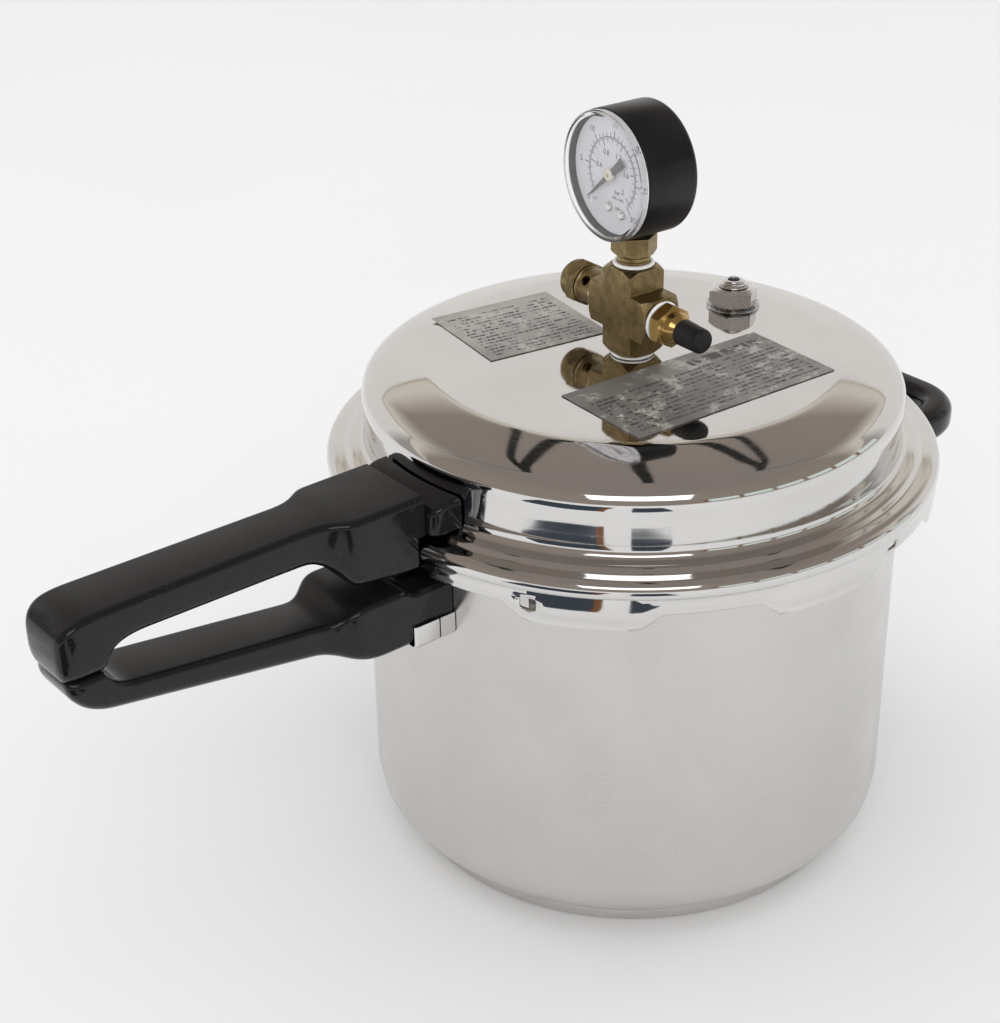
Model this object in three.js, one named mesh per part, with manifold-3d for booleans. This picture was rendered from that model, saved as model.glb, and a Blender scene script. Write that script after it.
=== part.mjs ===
// A stove-top pressure pot with an outer bayonet lid, fitted out as a compressed-air pressure vessel.
// Millimetres, +Z up. The origin is the centre of the pot's underside, the long handles point along -X
// and the short helper handle along +X. The brass fittings stand on the lid in a group of their own.
import * as THREE from "three";
import { mergeVertices } from "three/addons/utils/BufferGeometryUtils.js";
import Module from "manifold-3d";

const wasm = await Module();
wasm.setup();

// ---- Driving dimensions -------------------------------------------------------------------------

const GAP = 0.3; // clearance between two pieces that touch
const WELD = 1e-4; // distance under which two vertices are one
const ROUND = 48; // sides of the large turned shells
const SMALL = 16; // sides of the small turned fittings

// Base and pot
const BASE_RADIUS = 97.4;
const BASE_HEIGHT = 5.8;
const BASE_SKIN = 0.8;
const POT_RADIUS = 111;
const POT_WALL = 1.2;
const POT_CORNER = 20;
const POT_BOTTOM = BASE_HEIGHT + GAP;
const RIM_TOP = 172.3;
const RIM_THICK = 1.4;
const RIM_RADIUS = 115.6; // unbroken part of the pot's flange
const POT_LUG_RADIUS = 121.3;
const POT_LUG_BOTTOM = 160;

// Bayonet lugs, equally spaced on the pot and under the lid's skirt
const LUG_COUNT = 8;
const LUG_START = -153; // degrees, first lid lug
const LUG_WIDTH = 24;
const POT_LUG_WIDTH = 19;

// Lid
const LID_WALL = 1.2;
const LID_TOP = 213;
const LID_FLAT_RADIUS = 82;
const LID_BULGE_RADIUS = 111.2;
const NECK_RADIUS = 109.6;
const LID_RIM_RADIUS = 125.9;
const SKIRT_RADIUS = 124.6;
const SKIRT_BOTTOM = 164.2;
const LID_LUG_BOTTOM = 157.5;
const LID_LIP_RADIUS = 116.2;
const SQUARE_WINDOW_ANGLE = -150; // in the lug next to the handle
const ROUND_WINDOW_ANGLE = -79;
const GASKET_INNER = 111.6;
const GASKET_OUTER = 121;

// Long handles: distances from the pot's axis, outwards along -X
const HANDLE_TOP = 196.5;
const HANDLE_TIP = 272;
const HANDLE_ROOT = 121.5;
const ROOT_HALF_WIDTH = 19;
const GRIP_HALF_WIDTH = 12.8;
const SPLIT_HEIGHT = 172.5; // where the two handles meet at the tip
const GUARD_HALF_WIDTH = 24;
const GUARD_TOP = 193.5;
const TONGUE_WIDTH = 18;

// Screws that hold the handles on their brackets
const SCREW_SHANK = 1.6;
const SCREW_HOLE = 1.9;
const SCREW_HEAD = 3.5;
const SCREW_HEAD_HEIGHT = 2.4;
const SCREW_POCKET = 3.9;

// Helper handle
const HELPER_REACH = 163;
const HELPER_HALF_WIDTH = 50;
const HELPER_BAR = 14;
const HELPER_TOP = 160;
const HELPER_HEIGHT = 15;

// Brass cross on the middle of the lid, with its arms along its own Y
const FITTINGS_TURN = -5; // degrees about the lid's axis
const CROSS_HALF = 8.8;
const CROSS_ARM = 18.4;
const CROSS_Z = LID_TOP + 1.5 + CROSS_ARM;
const PORT_RADIUS = 6.9;
const THREAD_RADIUS = 6.6;
const PASSAGE_RADIUS = 3.6;

// Pressure gauge; its face looks along the cross's -X
const GAUGE_RADIUS = 26;
const GAUGE_Z = 290.5;
const GAUGE_BACK = 11;
const GAUGE_FRONT = -13;
const LENS_FRONT = -16.6;
const DIAL_RADIUS = 23.6;
const DIAL_X = -10.6;
const POINTER_ZERO = 41; // degrees below the horizontal, on the left of the face
const SOCKET_FLATS = 16;
const SECTOR_PIVOT = 8; // from the arbor to the sector's own pivot

// Relief valve along +Y, inlet valve along -Y of the cross
const RELIEF_RADIUS = 7.9;
const RELIEF_BARREL_END = 29.4;
const RELIEF_CAP_END = 41.4;
const RELIEF_HEX_FLATS = 17;
const VENT_HOLE_RADIUS = 2.3;
const INLET_HEX_FLATS = 15.6;
const INLET_STEM_RADIUS = 3.9;
const DUST_CAP_RADIUS = 5.3;

// Steel vent fitting on the lid, beside the cross
const VENT_RADIUS_FROM_AXIS = 66;
const VENT_ANGLE = 7;
const VENT_FLATS = 18;
const VENT_BORE = 2.5;
const VENT_THREAD = 4.8;

// Foil labels: length, width, centre and turn on the lid
const LABEL_THICK = 0.4;
const LABELS = {
  label_rear: { size: [56, 51], at: [-17, 51], turn: -9.5 },
  label_front: { size: [100, 47.5], at: [-0.5, -39.5], turn: -3.3 },
};

// ---- Finishes -----------------------------------------------------------------------------------

const finish = (color, roughness, metalness) => ({ color, roughness, metalness });
const POLISHED = finish(0xc9c6c2, 0.12, 1);
const SATIN_STEEL = finish(0xb9b6b1, 0.3, 1);
const ALUMINIUM = finish(0xb4b4b4, 0.4, 1);
const PHENOLIC = finish(0x141416, 0.25, 0);
const DULL_BRASS = finish(0x6f5a34, 0.42, 1);
const BRIGHT_BRASS = finish(0xb8924a, 0.25, 1);
const TAPE = finish(0xeeeeec, 0.7, 0);
const RUBBER = finish(0x191919, 0.75, 0);
const CASE_BLACK = finish(0x121416, 0.35, 0.2);
const CLEAR = finish(0xe8ecee, 0.05, 0);
const DIAL_WHITE = finish(0xe6e0e6, 0.6, 0);
const POINTER_GREY = finish(0x5c5a58, 0.5, 0.3);
const FOIL = finish(0x8f8b88, 0.45, 0.9);

// ---- Making solids ------------------------------------------------------------------------------

const rad = THREE.MathUtils.degToRad;
const point = (x, y) => new THREE.Vector2(x, y);

// A closed geometry as a solid for joining and cutting, with its faces out.
function solidOf(geometry) {
  const plain = geometry.index ? geometry.toNonIndexed() : geometry.clone();
  plain.deleteAttribute("normal");
  plain.deleteAttribute("uv");
  const merged = mergeVertices(plain, WELD);
  const triVerts = new Uint32Array(merged.index.array);
  const vertProperties = merged.attributes.position.array;
  const made = new wasm.Manifold(new wasm.Mesh({ numProp: 3, vertProperties, triVerts }));
  if (made.volume() >= 0) return made;
  for (let i = 0; i < triVerts.length; i += 3) {
    [triVerts[i + 1], triVerts[i + 2]] = [triVerts[i + 2], triVerts[i + 1]];
  }
  return new wasm.Manifold(new wasm.Mesh({ numProp: 3, vertProperties, triVerts }));
}

function geometryOf(solid) {
  const mesh = solid.getMesh();
  const positions = new Float32Array(mesh.numVert * 3);
  for (let i = 0; i < mesh.numVert; i++) {
    positions.set(mesh.vertProperties.subarray(i * mesh.numProp, i * mesh.numProp + 3), i * 3);
  }
  return new THREE.BufferGeometry()
    .setAttribute("position", new THREE.BufferAttribute(positions, 3))
    .setIndex(new THREE.BufferAttribute(new Uint32Array(mesh.triVerts), 1));
}

const combine = (how) => (first, ...rest) =>
  geometryOf(rest.reduce((made, next) => made[how](solidOf(next)), solidOf(first)));
const join = combine("add");
const cut = combine("subtract");
const common = combine("intersect");

// A piece turned about Z from [radius, height] pairs; the outline closes on itself or on the axis.
function turned(outline, sides = SMALL) {
  const points = outline.map(([r, z]) => point(r, z));
  const closedOnAxis = points[0].x === 0 && points.at(-1).x === 0;
  if (!closedOnAxis) points.push(points[0].clone());
  return geometryOf(solidOf(new THREE.LatheGeometry(points, sides).rotateX(Math.PI / 2)));
}

const rod = (radius, z0, z1, sides = SMALL) =>
  turned([[0, z0], [radius, z0], [radius, z1], [0, z1]], sides);

const tube = (inner, outer, z0, z1, sides = SMALL) =>
  turned([[inner, z0], [outer, z0], [outer, z1], [inner, z1]], sides);

// A hexagonal bar along Z, with the corners of its top taken off by a cone where asked.
function hexBar(flats, z0, z1, chamfer = 0) {
  const corner = flats / 2 / Math.cos(Math.PI / 6);
  const bar = rod(corner, z0, z1, 6);
  if (!chamfer) return bar;
  const cone = turned([
    [0, z0 - 1],
    [corner + 1, z0 - 1],
    [corner + 1, z1 - chamfer * 1.6],
    [corner - chamfer * 1.4, z1],
    [0, z1],
  ]);
  return common(bar, cone);
}

const box = (x0, x1, y0, y1, z0, z1) =>
  new THREE.BoxGeometry(x1 - x0, y1 - y0, z1 - z0)
    .translate((x0 + x1) / 2, (y0 + y1) / 2, (z0 + z1) / 2);

// A shape drawn in XY, made thick from z0 to z1.
const slab = (shape, z0, z1, curveSegments = 8) =>
  new THREE.ExtrudeGeometry(shape, { depth: z1 - z0, bevelEnabled: false, curveSegments })
    .translate(0, 0, z0);

// A side view drawn with x as the distance out along -X and y as the height, made wide across Y.
const sideView = (shape, halfWidth, curveSegments = 6) =>
  new THREE.ExtrudeGeometry(shape, { depth: 2 * halfWidth, bevelEnabled: false, curveSegments })
    .translate(0, 0, -halfWidth)
    .rotateX(Math.PI / 2)
    .rotateZ(Math.PI);

// A slab between two radii and two angles about the axis.
function sector(inner, outer, from, to, z0, z1) {
  const shape = new THREE.Shape();
  shape.absarc(0, 0, outer, rad(from), rad(to), false);
  shape.absarc(0, 0, inner, rad(to), rad(from), true);
  shape.closePath();
  return slab(shape, z0, z1, 2);
}

// Turn a piece made along Z so that it lies along another axis.
const alongPlusY = (geometry) => geometry.rotateX(-Math.PI / 2);
const alongMinusY = (geometry) => geometry.rotateX(Math.PI / 2);
const alongMinusX = (geometry) => geometry.rotateY(-Math.PI / 2);

// A coil spring about Z from z0 to z1.
function coil(radius, wire, z0, z1, turns) {
  class Helix extends THREE.Curve {
    getPoint(t, target = new THREE.Vector3()) {
      const angle = t * turns * 2 * Math.PI;
      const height = z0 + wire + t * (z1 - z0 - 2 * wire);
      return target.set(radius * Math.cos(angle), radius * Math.sin(angle), height);
    }
  }
  const section = new THREE.Shape();
  section.absarc(0, 0, wire, 0, 2 * Math.PI, false);
  return new THREE.ExtrudeGeometry(section, {
    steps: turns * 7,
    extrudePath: new Helix(),
    curveSegments: 3,
    bevelEnabled: false,
  });
}

// The points of an outline moved sideways by a wall thickness.
function offsetOutline(points, distance) {
  return points.map((p, i) => {
    const before = points[Math.max(i - 1, 0)];
    const after = points[Math.min(i + 1, points.length - 1)];
    const along = after.clone().sub(before).normalize();
    return point(Math.max(p.x + along.y * distance, 0), p.y - along.x * distance);
  });
}

const pairs = (points) => points.map((p) => [p.x, p.y]);

const root = new THREE.Group();
const fittings = new THREE.Group();
fittings.rotation.z = rad(FITTINGS_TURN);
root.add(fittings);

function add(group, name, geometry, look) {
  const mesh = new THREE.Mesh(geometry, new THREE.MeshStandardMaterial(look));
  mesh.name = name;
  group.add(mesh);
  return mesh;
}

const lugStarts = Array.from({ length: LUG_COUNT }, (_, i) => LUG_START + (i * 360) / LUG_COUNT);

// ---- Pot ----------------------------------------------------------------------------------------

// Steel cup pressed under the pot, around the aluminium core that spreads the heat.
function baseCap() {
  const edge = 1.6;
  return turned(
    [
      [0, 0],
      [BASE_RADIUS - edge, 0],
      [BASE_RADIUS, edge],
      [BASE_RADIUS, BASE_HEIGHT],
      [BASE_RADIUS - BASE_SKIN, BASE_HEIGHT],
      [BASE_RADIUS - BASE_SKIN, BASE_SKIN + edge],
      [BASE_RADIUS - BASE_SKIN - edge, BASE_SKIN],
      [0, BASE_SKIN],
    ],
    ROUND,
  );
}

function baseCore() {
  const radius = BASE_RADIUS - BASE_SKIN - GAP;
  return turned(
    [
      [0, BASE_SKIN + GAP],
      [radius - 2, BASE_SKIN + GAP],
      [radius, BASE_SKIN + GAP + 2],
      [radius, BASE_HEIGHT],
      [0, BASE_HEIGHT],
    ],
    ROUND,
  );
}

function potBody() {
  const outer = new THREE.Path();
  const cornerCentre = POT_RADIUS - POT_CORNER;
  outer.moveTo(0, POT_BOTTOM);
  outer.lineTo(cornerCentre, POT_BOTTOM);
  outer.absarc(cornerCentre, POT_BOTTOM + POT_CORNER, POT_CORNER, -Math.PI / 2, 0, false);
  outer.lineTo(POT_RADIUS, RIM_TOP - RIM_THICK);
  outer.lineTo(RIM_RADIUS, RIM_TOP - RIM_THICK);
  outer.lineTo(RIM_RADIUS, RIM_TOP);
  const insideRadius = POT_RADIUS - POT_WALL;
  const insideCorner = POT_CORNER - POT_WALL;
  outer.lineTo(insideRadius, RIM_TOP);
  outer.lineTo(insideRadius, POT_BOTTOM + POT_CORNER);
  outer.absarc(cornerCentre, POT_BOTTOM + POT_CORNER, insideCorner, 0, -Math.PI / 2, true);
  outer.lineTo(0, POT_BOTTOM + POT_WALL);
  const shell = turned(pairs(outer.getPoints(3)), ROUND);
  return join(shell, ...potLugs());
}

// Lugs of the pot's rim: a flat top with its outer edge turned down.
function potLugs() {
  const inset = (LUG_WIDTH - POT_LUG_WIDTH) / 2;
  return lugStarts.map((start) => {
    const from = start + inset;
    const to = from + POT_LUG_WIDTH;
    return join(
      sector(RIM_RADIUS - 1, POT_LUG_RADIUS, from, to, RIM_TOP - RIM_THICK, RIM_TOP),
      sector(POT_LUG_RADIUS - RIM_THICK, POT_LUG_RADIUS, from, to, POT_LUG_BOTTOM, RIM_TOP - 0.5),
    );
  });
}

// ---- Lid ----------------------------------------------------------------------------------------

// Outside of the lid from its middle to the foot of a lug: crown, bulge, neck, stepped rim and skirt.
function lidOutline() {
  const crown = new THREE.Path();
  crown.moveTo(0, LID_TOP);
  crown.lineTo(LID_FLAT_RADIUS, LID_TOP);
  crown.quadraticCurveTo(93.3, LID_TOP, 99.5, LID_TOP - 2.6);
  crown.quadraticCurveTo(109, LID_TOP - 6.6, LID_BULGE_RADIUS, LID_TOP - 14);
  const path = new THREE.Path();
  path.moveTo(LID_BULGE_RADIUS, LID_TOP - 14);
  path.quadraticCurveTo(LID_BULGE_RADIUS + 0.2, LID_TOP - 18.4, NECK_RADIUS, LID_TOP - 20.4);
  path.lineTo(NECK_RADIUS, 182.6);
  path.quadraticCurveTo(NECK_RADIUS + 0.2, 179.6, 112.6, 179.4);
  path.lineTo(114.6, 179.4);
  path.quadraticCurveTo(116.8, 179.2, 118, 177.4);
  path.lineTo(121.8, 177.4);
  path.quadraticCurveTo(LID_RIM_RADIUS, 177.3, LID_RIM_RADIUS, 172.6);
  path.lineTo(SKIRT_RADIUS + 0.4, 170.6);
  path.lineTo(SKIRT_RADIUS, LID_LUG_BOTTOM);
  return [...crown.getPoints(3), ...path.getPoints(2).slice(1)];
}

function lidShell() {
  const outer = lidOutline();
  const inner = offsetOutline(outer, LID_WALL);
  inner.at(-1).y = LID_LUG_BOTTOM;
  inner[0].x = 0;
  const shell = turned(pairs([...outer, ...inner.reverse()]), ROUND);
  const pitch = 360 / LUG_COUNT;
  const lipTop = LID_LUG_BOTTOM + LID_WALL;
  const between = lugStarts.map((start) => {
    const from = start + LUG_WIDTH;
    const to = start + pitch;
    return sector(LID_LIP_RADIUS - 6, LID_RIM_RADIUS + 2, from, to, LID_LUG_BOTTOM - 1, SKIRT_BOTTOM);
  });
  const lips = lugStarts.map((start) => {
    const to = start + LUG_WIDTH - 0.5;
    return sector(LID_LIP_RADIUS, SKIRT_RADIUS - 0.2, start + 0.5, to, LID_LUG_BOTTOM, lipTop);
  });
  return cut(join(cut(shell, ...between), ...lips), ...lidHoles());
}

// Holes for the cross's nipple and the vent, a square window in one lug and a round one in the next.
function lidHoles() {
  const [ventX, ventY] = ventPlace();
  const depth = 20;
  const square = box(0, depth, -2.9, 2.9, 162.6, 167.6)
    .translate(LID_LIP_RADIUS, 0, 0)
    .rotateZ(rad(SQUARE_WINDOW_ANGLE));
  const round = rod(2.4, 0, depth, 12)
    .rotateY(Math.PI / 2)
    .translate(LID_LIP_RADIUS, 0, 165.2)
    .rotateZ(rad(ROUND_WINDOW_ANGLE));
  return [
    rod(THREAD_RADIUS + GAP, LID_TOP - depth / 4, LID_TOP + 1),
    rod(VENT_THREAD + GAP, LID_TOP - depth / 4, LID_TOP + 1).translate(ventX, ventY, 0),
    square,
    round,
  ];
}

function gasket() {
  const low = RIM_TOP + GAP;
  const high = 175.7;
  return turned(
    [
      [GASKET_INNER, low],
      [GASKET_OUTER - 1, low],
      [GASKET_OUTER, low + 1],
      [GASKET_OUTER, high - 1],
      [GASKET_OUTER - 1, high],
      [GASKET_INNER + 1, high],
      [GASKET_INNER, high - 1],
    ],
    ROUND,
  );
}

// ---- Long handles -------------------------------------------------------------------------------

// Seen from above: a broad root that narrows to the grip, with a rounded end.
function planView(rootStart, rootEnd, tip, rootHalf, gripHalf, tipHalf, endRadius) {
  const shape = new THREE.Shape();
  shape.moveTo(-rootStart, -rootHalf);
  shape.lineTo(-rootStart, rootHalf);
  shape.lineTo(-rootEnd, rootHalf);
  shape.bezierCurveTo(-(rootEnd + 7), rootHalf, -(rootEnd + 7), gripHalf + 0.6, -(rootEnd + 18), gripHalf);
  shape.lineTo(-(tip - endRadius), tipHalf);
  shape.quadraticCurveTo(-tip, tipHalf, -tip, tipHalf - endRadius);
  shape.lineTo(-tip, endRadius - tipHalf);
  shape.quadraticCurveTo(-tip, -tipHalf, -(tip - endRadius), -tipHalf);
  shape.lineTo(-(rootEnd + 18), -gripHalf);
  shape.bezierCurveTo(-(rootEnd + 7), -gripHalf - 0.6, -(rootEnd + 7), -rootHalf, -rootEnd, -rootHalf);
  shape.closePath();
  return shape;
}

function upperHandleSide() {
  const side = new THREE.Shape();
  side.moveTo(HANDLE_ROOT, HANDLE_TOP);
  side.lineTo(HANDLE_ROOT, 165.5);
  side.lineTo(130, 165.5);
  side.lineTo(151, 168.5);
  side.bezierCurveTo(157, 169.5, 158, 181, 172, 181.4);
  side.lineTo(236, 182.4);
  side.bezierCurveTo(249, 182.6, 252.5, 178, 254, SPLIT_HEIGHT + GAP);
  side.lineTo(269.5, SPLIT_HEIGHT + GAP);
  side.bezierCurveTo(HANDLE_TIP, 180, HANDLE_TIP + 0.6, HANDLE_TOP, 256, HANDLE_TOP);
  side.closePath();
  return side;
}

function upperHandle() {
  const block = common(
    sideView(upperHandleSide(), ROOT_HALF_WIDTH + 2),
    slab(planView(HANDLE_ROOT, 150, HANDLE_TIP, ROOT_HALF_WIDTH, GRIP_HALF_WIDTH, 14, 9), 150, 200),
  );
  const halfTongue = TONGUE_WIDTH / 2 + GAP;
  return cut(
    block,
    rod(LID_RIM_RADIUS + 0.5, 160, 180.2, ROUND),
    box(-143.3, -HANDLE_ROOT + 1, -halfTongue, halfTongue, 184.1, 187.1),
    ...upperScrewPlaces.flatMap(([x, y]) => [
      rod(SCREW_HOLE, 170, 191, 16).translate(x, y, 0),
      rod(SCREW_POCKET, 160, 171.5, 16).translate(x, y, 0),
    ]),
  );
}

const upperScrewPlaces = [
  [-131, 0],
  [-139, 0],
];

// Steel strap on the lid's neck with a tongue that the upper handle is screwed to.
function lidHandleBracket() {
  const plate = sector(NECK_RADIUS + GAP, NECK_RADIUS + 1.4, 172, 188, 183.2, 191.5);
  const tongue = box(-143, -NECK_RADIUS - 0.7, -TONGUE_WIDTH / 2, TONGUE_WIDTH / 2, 184.4, 186.8);
  const holes = upperScrewPlaces.map(([x, y]) => rod(SCREW_HOLE, 180, 190, 16).translate(x, y, 0));
  return cut(join(plate, tongue), ...holes);
}

// Black saddle between the neck and the upper handle, sloping up to the lid's bulge.
function handleGuard() {
  const top = new THREE.Shape();
  top.moveTo(-100, GUARD_HALF_WIDTH);
  top.lineTo(-116, GUARD_HALF_WIDTH);
  top.quadraticCurveTo(-HANDLE_ROOT + GAP, GUARD_HALF_WIDTH, -HANDLE_ROOT + GAP, GUARD_HALF_WIDTH - 5);
  top.lineTo(-HANDLE_ROOT + GAP, 5 - GUARD_HALF_WIDTH);
  top.quadraticCurveTo(-HANDLE_ROOT + GAP, -GUARD_HALF_WIDTH, -116, -GUARD_HALF_WIDTH);
  top.lineTo(-100, -GUARD_HALF_WIDTH);
  top.closePath();
  const side = new THREE.Shape();
  side.moveTo(98, 180.3);
  side.lineTo(HANDLE_ROOT, 180.3);
  side.lineTo(HANDLE_ROOT, GUARD_TOP - 5);
  side.quadraticCurveTo(119.5, GUARD_TOP - 1, 112, GUARD_TOP);
  side.lineTo(98, GUARD_TOP);
  side.closePath();
  const halfTongue = TONGUE_WIDTH / 2 + GAP;
  return cut(
    common(slab(top, 170, 200), sideView(side, GUARD_HALF_WIDTH + 2)),
    rod(LID_BULGE_RADIUS + 0.1, 170, 200, ROUND),
    box(-130, -100, -halfTongue, halfTongue, 184.1, 187.1),
  );
}

function lowerHandleSide() {
  const side = new THREE.Shape();
  side.moveTo(105, 156.8);
  side.lineTo(127, 156.8);
  side.lineTo(131, 159.5);
  side.lineTo(149, 159.5);
  side.bezierCurveTo(156, 159.3, 156, 154.4, 164, 154.4);
  side.lineTo(244, 164.8);
  side.lineTo(253, SPLIT_HEIGHT - 2);
  side.lineTo(254, SPLIT_HEIGHT);
  side.lineTo(268.6, SPLIT_HEIGHT);
  side.bezierCurveTo(267.6, 163, 264, 157, 256, 156.6);
  side.lineTo(170, 142);
  side.bezierCurveTo(158, 140, 152, 134.4, 142, 133.8);
  side.lineTo(105, 133.8);
  side.closePath();
  return side;
}

const lowerScrewPlace = [-134, 0];

function lowerHandle() {
  const block = common(
    sideView(lowerHandleSide(), ROOT_HALF_WIDTH + 2),
    slab(planView(105, 150, 269, ROOT_HALF_WIDTH - 0.2, GRIP_HALF_WIDTH, 13.4, 8), 120, 180),
  );
  const halfTongue = TONGUE_WIDTH / 2 + GAP;
  const [screwX, screwY] = lowerScrewPlace;
  return cut(
    block,
    rod(POT_RADIUS + GAP, 120, 180, ROUND),
    sector(POT_RADIUS - 2, POT_RADIUS + 1.9, 171, 189, 135.4, 154.6),
    box(-141.3, -105, -halfTongue, halfTongue, 145.7, 148.7),
    rod(SCREW_HOLE, 130, 152, 16).translate(screwX, screwY, 0),
    rod(SCREW_POCKET, 130, 137.5, 16).translate(screwX, screwY, 0),
  );
}

function potHandleBracket() {
  const plate = sector(POT_RADIUS + GAP, POT_RADIUS + 1.5, 172, 188, 136, 154);
  const tongue = box(-141, -POT_RADIUS - 0.8, -TONGUE_WIDTH / 2, TONGUE_WIDTH / 2, 146, 148.4);
  const [x, y] = lowerScrewPlace;
  return cut(join(plate, tongue), rod(SCREW_HOLE, 140, 152, 16).translate(x, y, 0));
}

// Polished strap under and beside the lower handle's root, against the flame.
function flameGuard() {
  const outer = ROOT_HALF_WIDTH + 1;
  const inner = ROOT_HALF_WIDTH + 0.2;
  return cut(
    box(-129, -108, -outer, outer, 132.7, 142.6),
    box(-130, -100, -inner, inner, 133.5, 150),
    rod(POT_RADIUS + GAP, 120, 160, ROUND),
  );
}

// A pan-head screw from below: head, then shank up to the given height.
const screwFromBelow = ([x, y], headBottom, top) =>
  join(
    rod(SCREW_HEAD, headBottom, headBottom + SCREW_HEAD_HEIGHT, 16),
    rod(SCREW_SHANK, headBottom + SCREW_HEAD_HEIGHT - 0.4, top, 16),
  ).translate(x, y, 0);

// ---- Helper handle ------------------------------------------------------------------------------

const helperScrewPlaces = [
  [118, -13],
  [118, 13],
];

function helperHandle() {
  const outline = new THREE.Shape();
  const corner = 24;
  outline.moveTo(90, -HELPER_HALF_WIDTH);
  outline.lineTo(HELPER_REACH - corner, -HELPER_HALF_WIDTH);
  outline.quadraticCurveTo(HELPER_REACH - 3, 4 - HELPER_HALF_WIDTH, HELPER_REACH, corner - HELPER_HALF_WIDTH);
  outline.lineTo(HELPER_REACH, HELPER_HALF_WIDTH - corner);
  outline.quadraticCurveTo(HELPER_REACH - 3, HELPER_HALF_WIDTH - 4, HELPER_REACH - corner, HELPER_HALF_WIDTH);
  outline.lineTo(90, HELPER_HALF_WIDTH);
  outline.closePath();
  const opening = new THREE.Shape();
  const inner = HELPER_HALF_WIDTH - HELPER_BAR;
  const reach = HELPER_REACH - HELPER_BAR;
  opening.moveTo(126, -inner);
  opening.lineTo(reach - 10, -inner);
  opening.quadraticCurveTo(reach, -inner, reach, 10 - inner);
  opening.lineTo(reach, inner - 10);
  opening.quadraticCurveTo(reach, inner, reach - 10, inner);
  opening.lineTo(126, inner);
  opening.closePath();
  const bottom = HELPER_TOP - HELPER_HEIGHT;
  return cut(
    slab(outline, bottom, HELPER_TOP),
    slab(opening, bottom - 1, HELPER_TOP + 1),
    rod(POT_RADIUS + GAP, bottom - 1, HELPER_TOP + 1, ROUND),
    // the lid's skirt and lugs turn above this ledge
    tube(POT_RADIUS - 5, LID_RIM_RADIUS + 0.6, LID_LUG_BOTTOM - 0.5, HELPER_TOP + 1, ROUND),
    sector(POT_RADIUS - 2, POT_RADIUS + 1.9, -14, 14, bottom + 0.9, 155),
    box(105, 123.3, -20.4, 20.4, 149.7, 152.3),
    ...helperScrewPlaces.flatMap(([x, y]) => [
      rod(SCREW_HOLE, bottom - 1, 155, 16).translate(x, y, 0),
      rod(SCREW_POCKET, bottom - 1, bottom + 2.9, 16).translate(x, y, 0),
    ]),
  );
}

function helperBracket() {
  const plate = sector(POT_RADIUS + GAP, POT_RADIUS + 1.5, -13, 13, 146.4, 154.6);
  const tongue = box(POT_RADIUS + 0.9, 123, -20, 20, 150, 152);
  const holes = helperScrewPlaces.map(([x, y]) => rod(SCREW_HOLE, 140, 156, 16).translate(x, y, 0));
  return cut(join(plate, tongue), ...holes);
}

// ---- Brass cross --------------------------------------------------------------------------------

function crossBody() {
  const low = CROSS_Z - CROSS_ARM;
  const high = CROSS_Z + CROSS_ARM;
  const column = box(-CROSS_HALF, CROSS_HALF, -CROSS_HALF, CROSS_HALF, low, high);
  const arms = box(-CROSS_HALF, CROSS_HALF, -CROSS_ARM, CROSS_ARM, -CROSS_HALF, CROSS_HALF)
    .translate(0, 0, CROSS_Z);
  const portDepth = 9;
  const port = (z0, z1) => rod(PORT_RADIUS, z0, z1);
  return cut(
    common(join(column, arms), roundedEnds()),
    port(low - 1, low + portDepth),
    port(high - portDepth, high + 1),
    alongPlusY(port(CROSS_ARM - portDepth, CROSS_ARM + 1)).translate(0, 0, CROSS_Z),
    alongMinusY(port(CROSS_ARM - portDepth, CROSS_ARM + 1)).translate(0, 0, CROSS_Z),
    rod(PASSAGE_RADIUS, low, high),
    alongPlusY(rod(PASSAGE_RADIUS, -CROSS_ARM, CROSS_ARM)).translate(0, 0, CROSS_Z),
  );
}

// Cones that take the corners off the four ends of the cross, as a lathe leaves them.
function roundedEnds() {
  const corner = CROSS_HALF * Math.SQRT2 + 0.2;
  const bicone = (half) =>
    turned([
      [0, -half],
      [CROSS_HALF + 0.4, -half],
      [corner, -half + 2.2],
      [corner, half - 2.2],
      [CROSS_HALF + 0.4, half],
      [0, half],
    ]);
  const upright = bicone(CROSS_ARM).translate(0, 0, CROSS_Z);
  const level = alongPlusY(bicone(CROSS_ARM)).translate(0, 0, CROSS_Z);
  return join(upright, level);
}

const crossNipple = () => tube(PASSAGE_RADIUS, THREAD_RADIUS, LID_TOP - 11, CROSS_Z - CROSS_ARM + 7.5);
const lockNut = () => cut(hexBar(21, LID_TOP - 8.4, LID_TOP - 3.4, 0.8), rod(THREAD_RADIUS + GAP, 190, 230));
const lidWasher = () => tube(THREAD_RADIUS + GAP, 11, LID_TOP - 3.1, LID_TOP - LID_WALL - GAP);
const crossSeal = () => tube(THREAD_RADIUS + GAP, CROSS_HALF + 0.2, LID_TOP + GAP, CROSS_Z - CROSS_ARM - GAP);

// ---- Pressure gauge -----------------------------------------------------------------------------

// Brass socket: threaded stem in the cross, hexagon, and a post that goes up into the case.
function gaugeSocket() {
  const hexLow = CROSS_Z + CROSS_ARM + 4.2;
  const hexHigh = 264;
  const caseFloor = GAUGE_Z - GAUGE_RADIUS;
  return cut(
    join(
      rod(THREAD_RADIUS, CROSS_Z + CROSS_ARM - 8, hexLow + 0.5),
      common(
        hexBar(SOCKET_FLATS, hexLow, hexHigh),
        turned([
          [0, hexLow],
          [SOCKET_FLATS / 2 - 1, hexLow],
          [SOCKET_FLATS / 2 + 1.6, hexLow + 2],
          [SOCKET_FLATS / 2 + 1.6, hexHigh],
          [0, hexHigh],
        ]),
      ),
      rod(4.5, hexHigh - 1, caseFloor + 9.5),
    ),
    rod(2, CROSS_Z + CROSS_ARM - 9, caseFloor + 7),
  );
}

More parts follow.
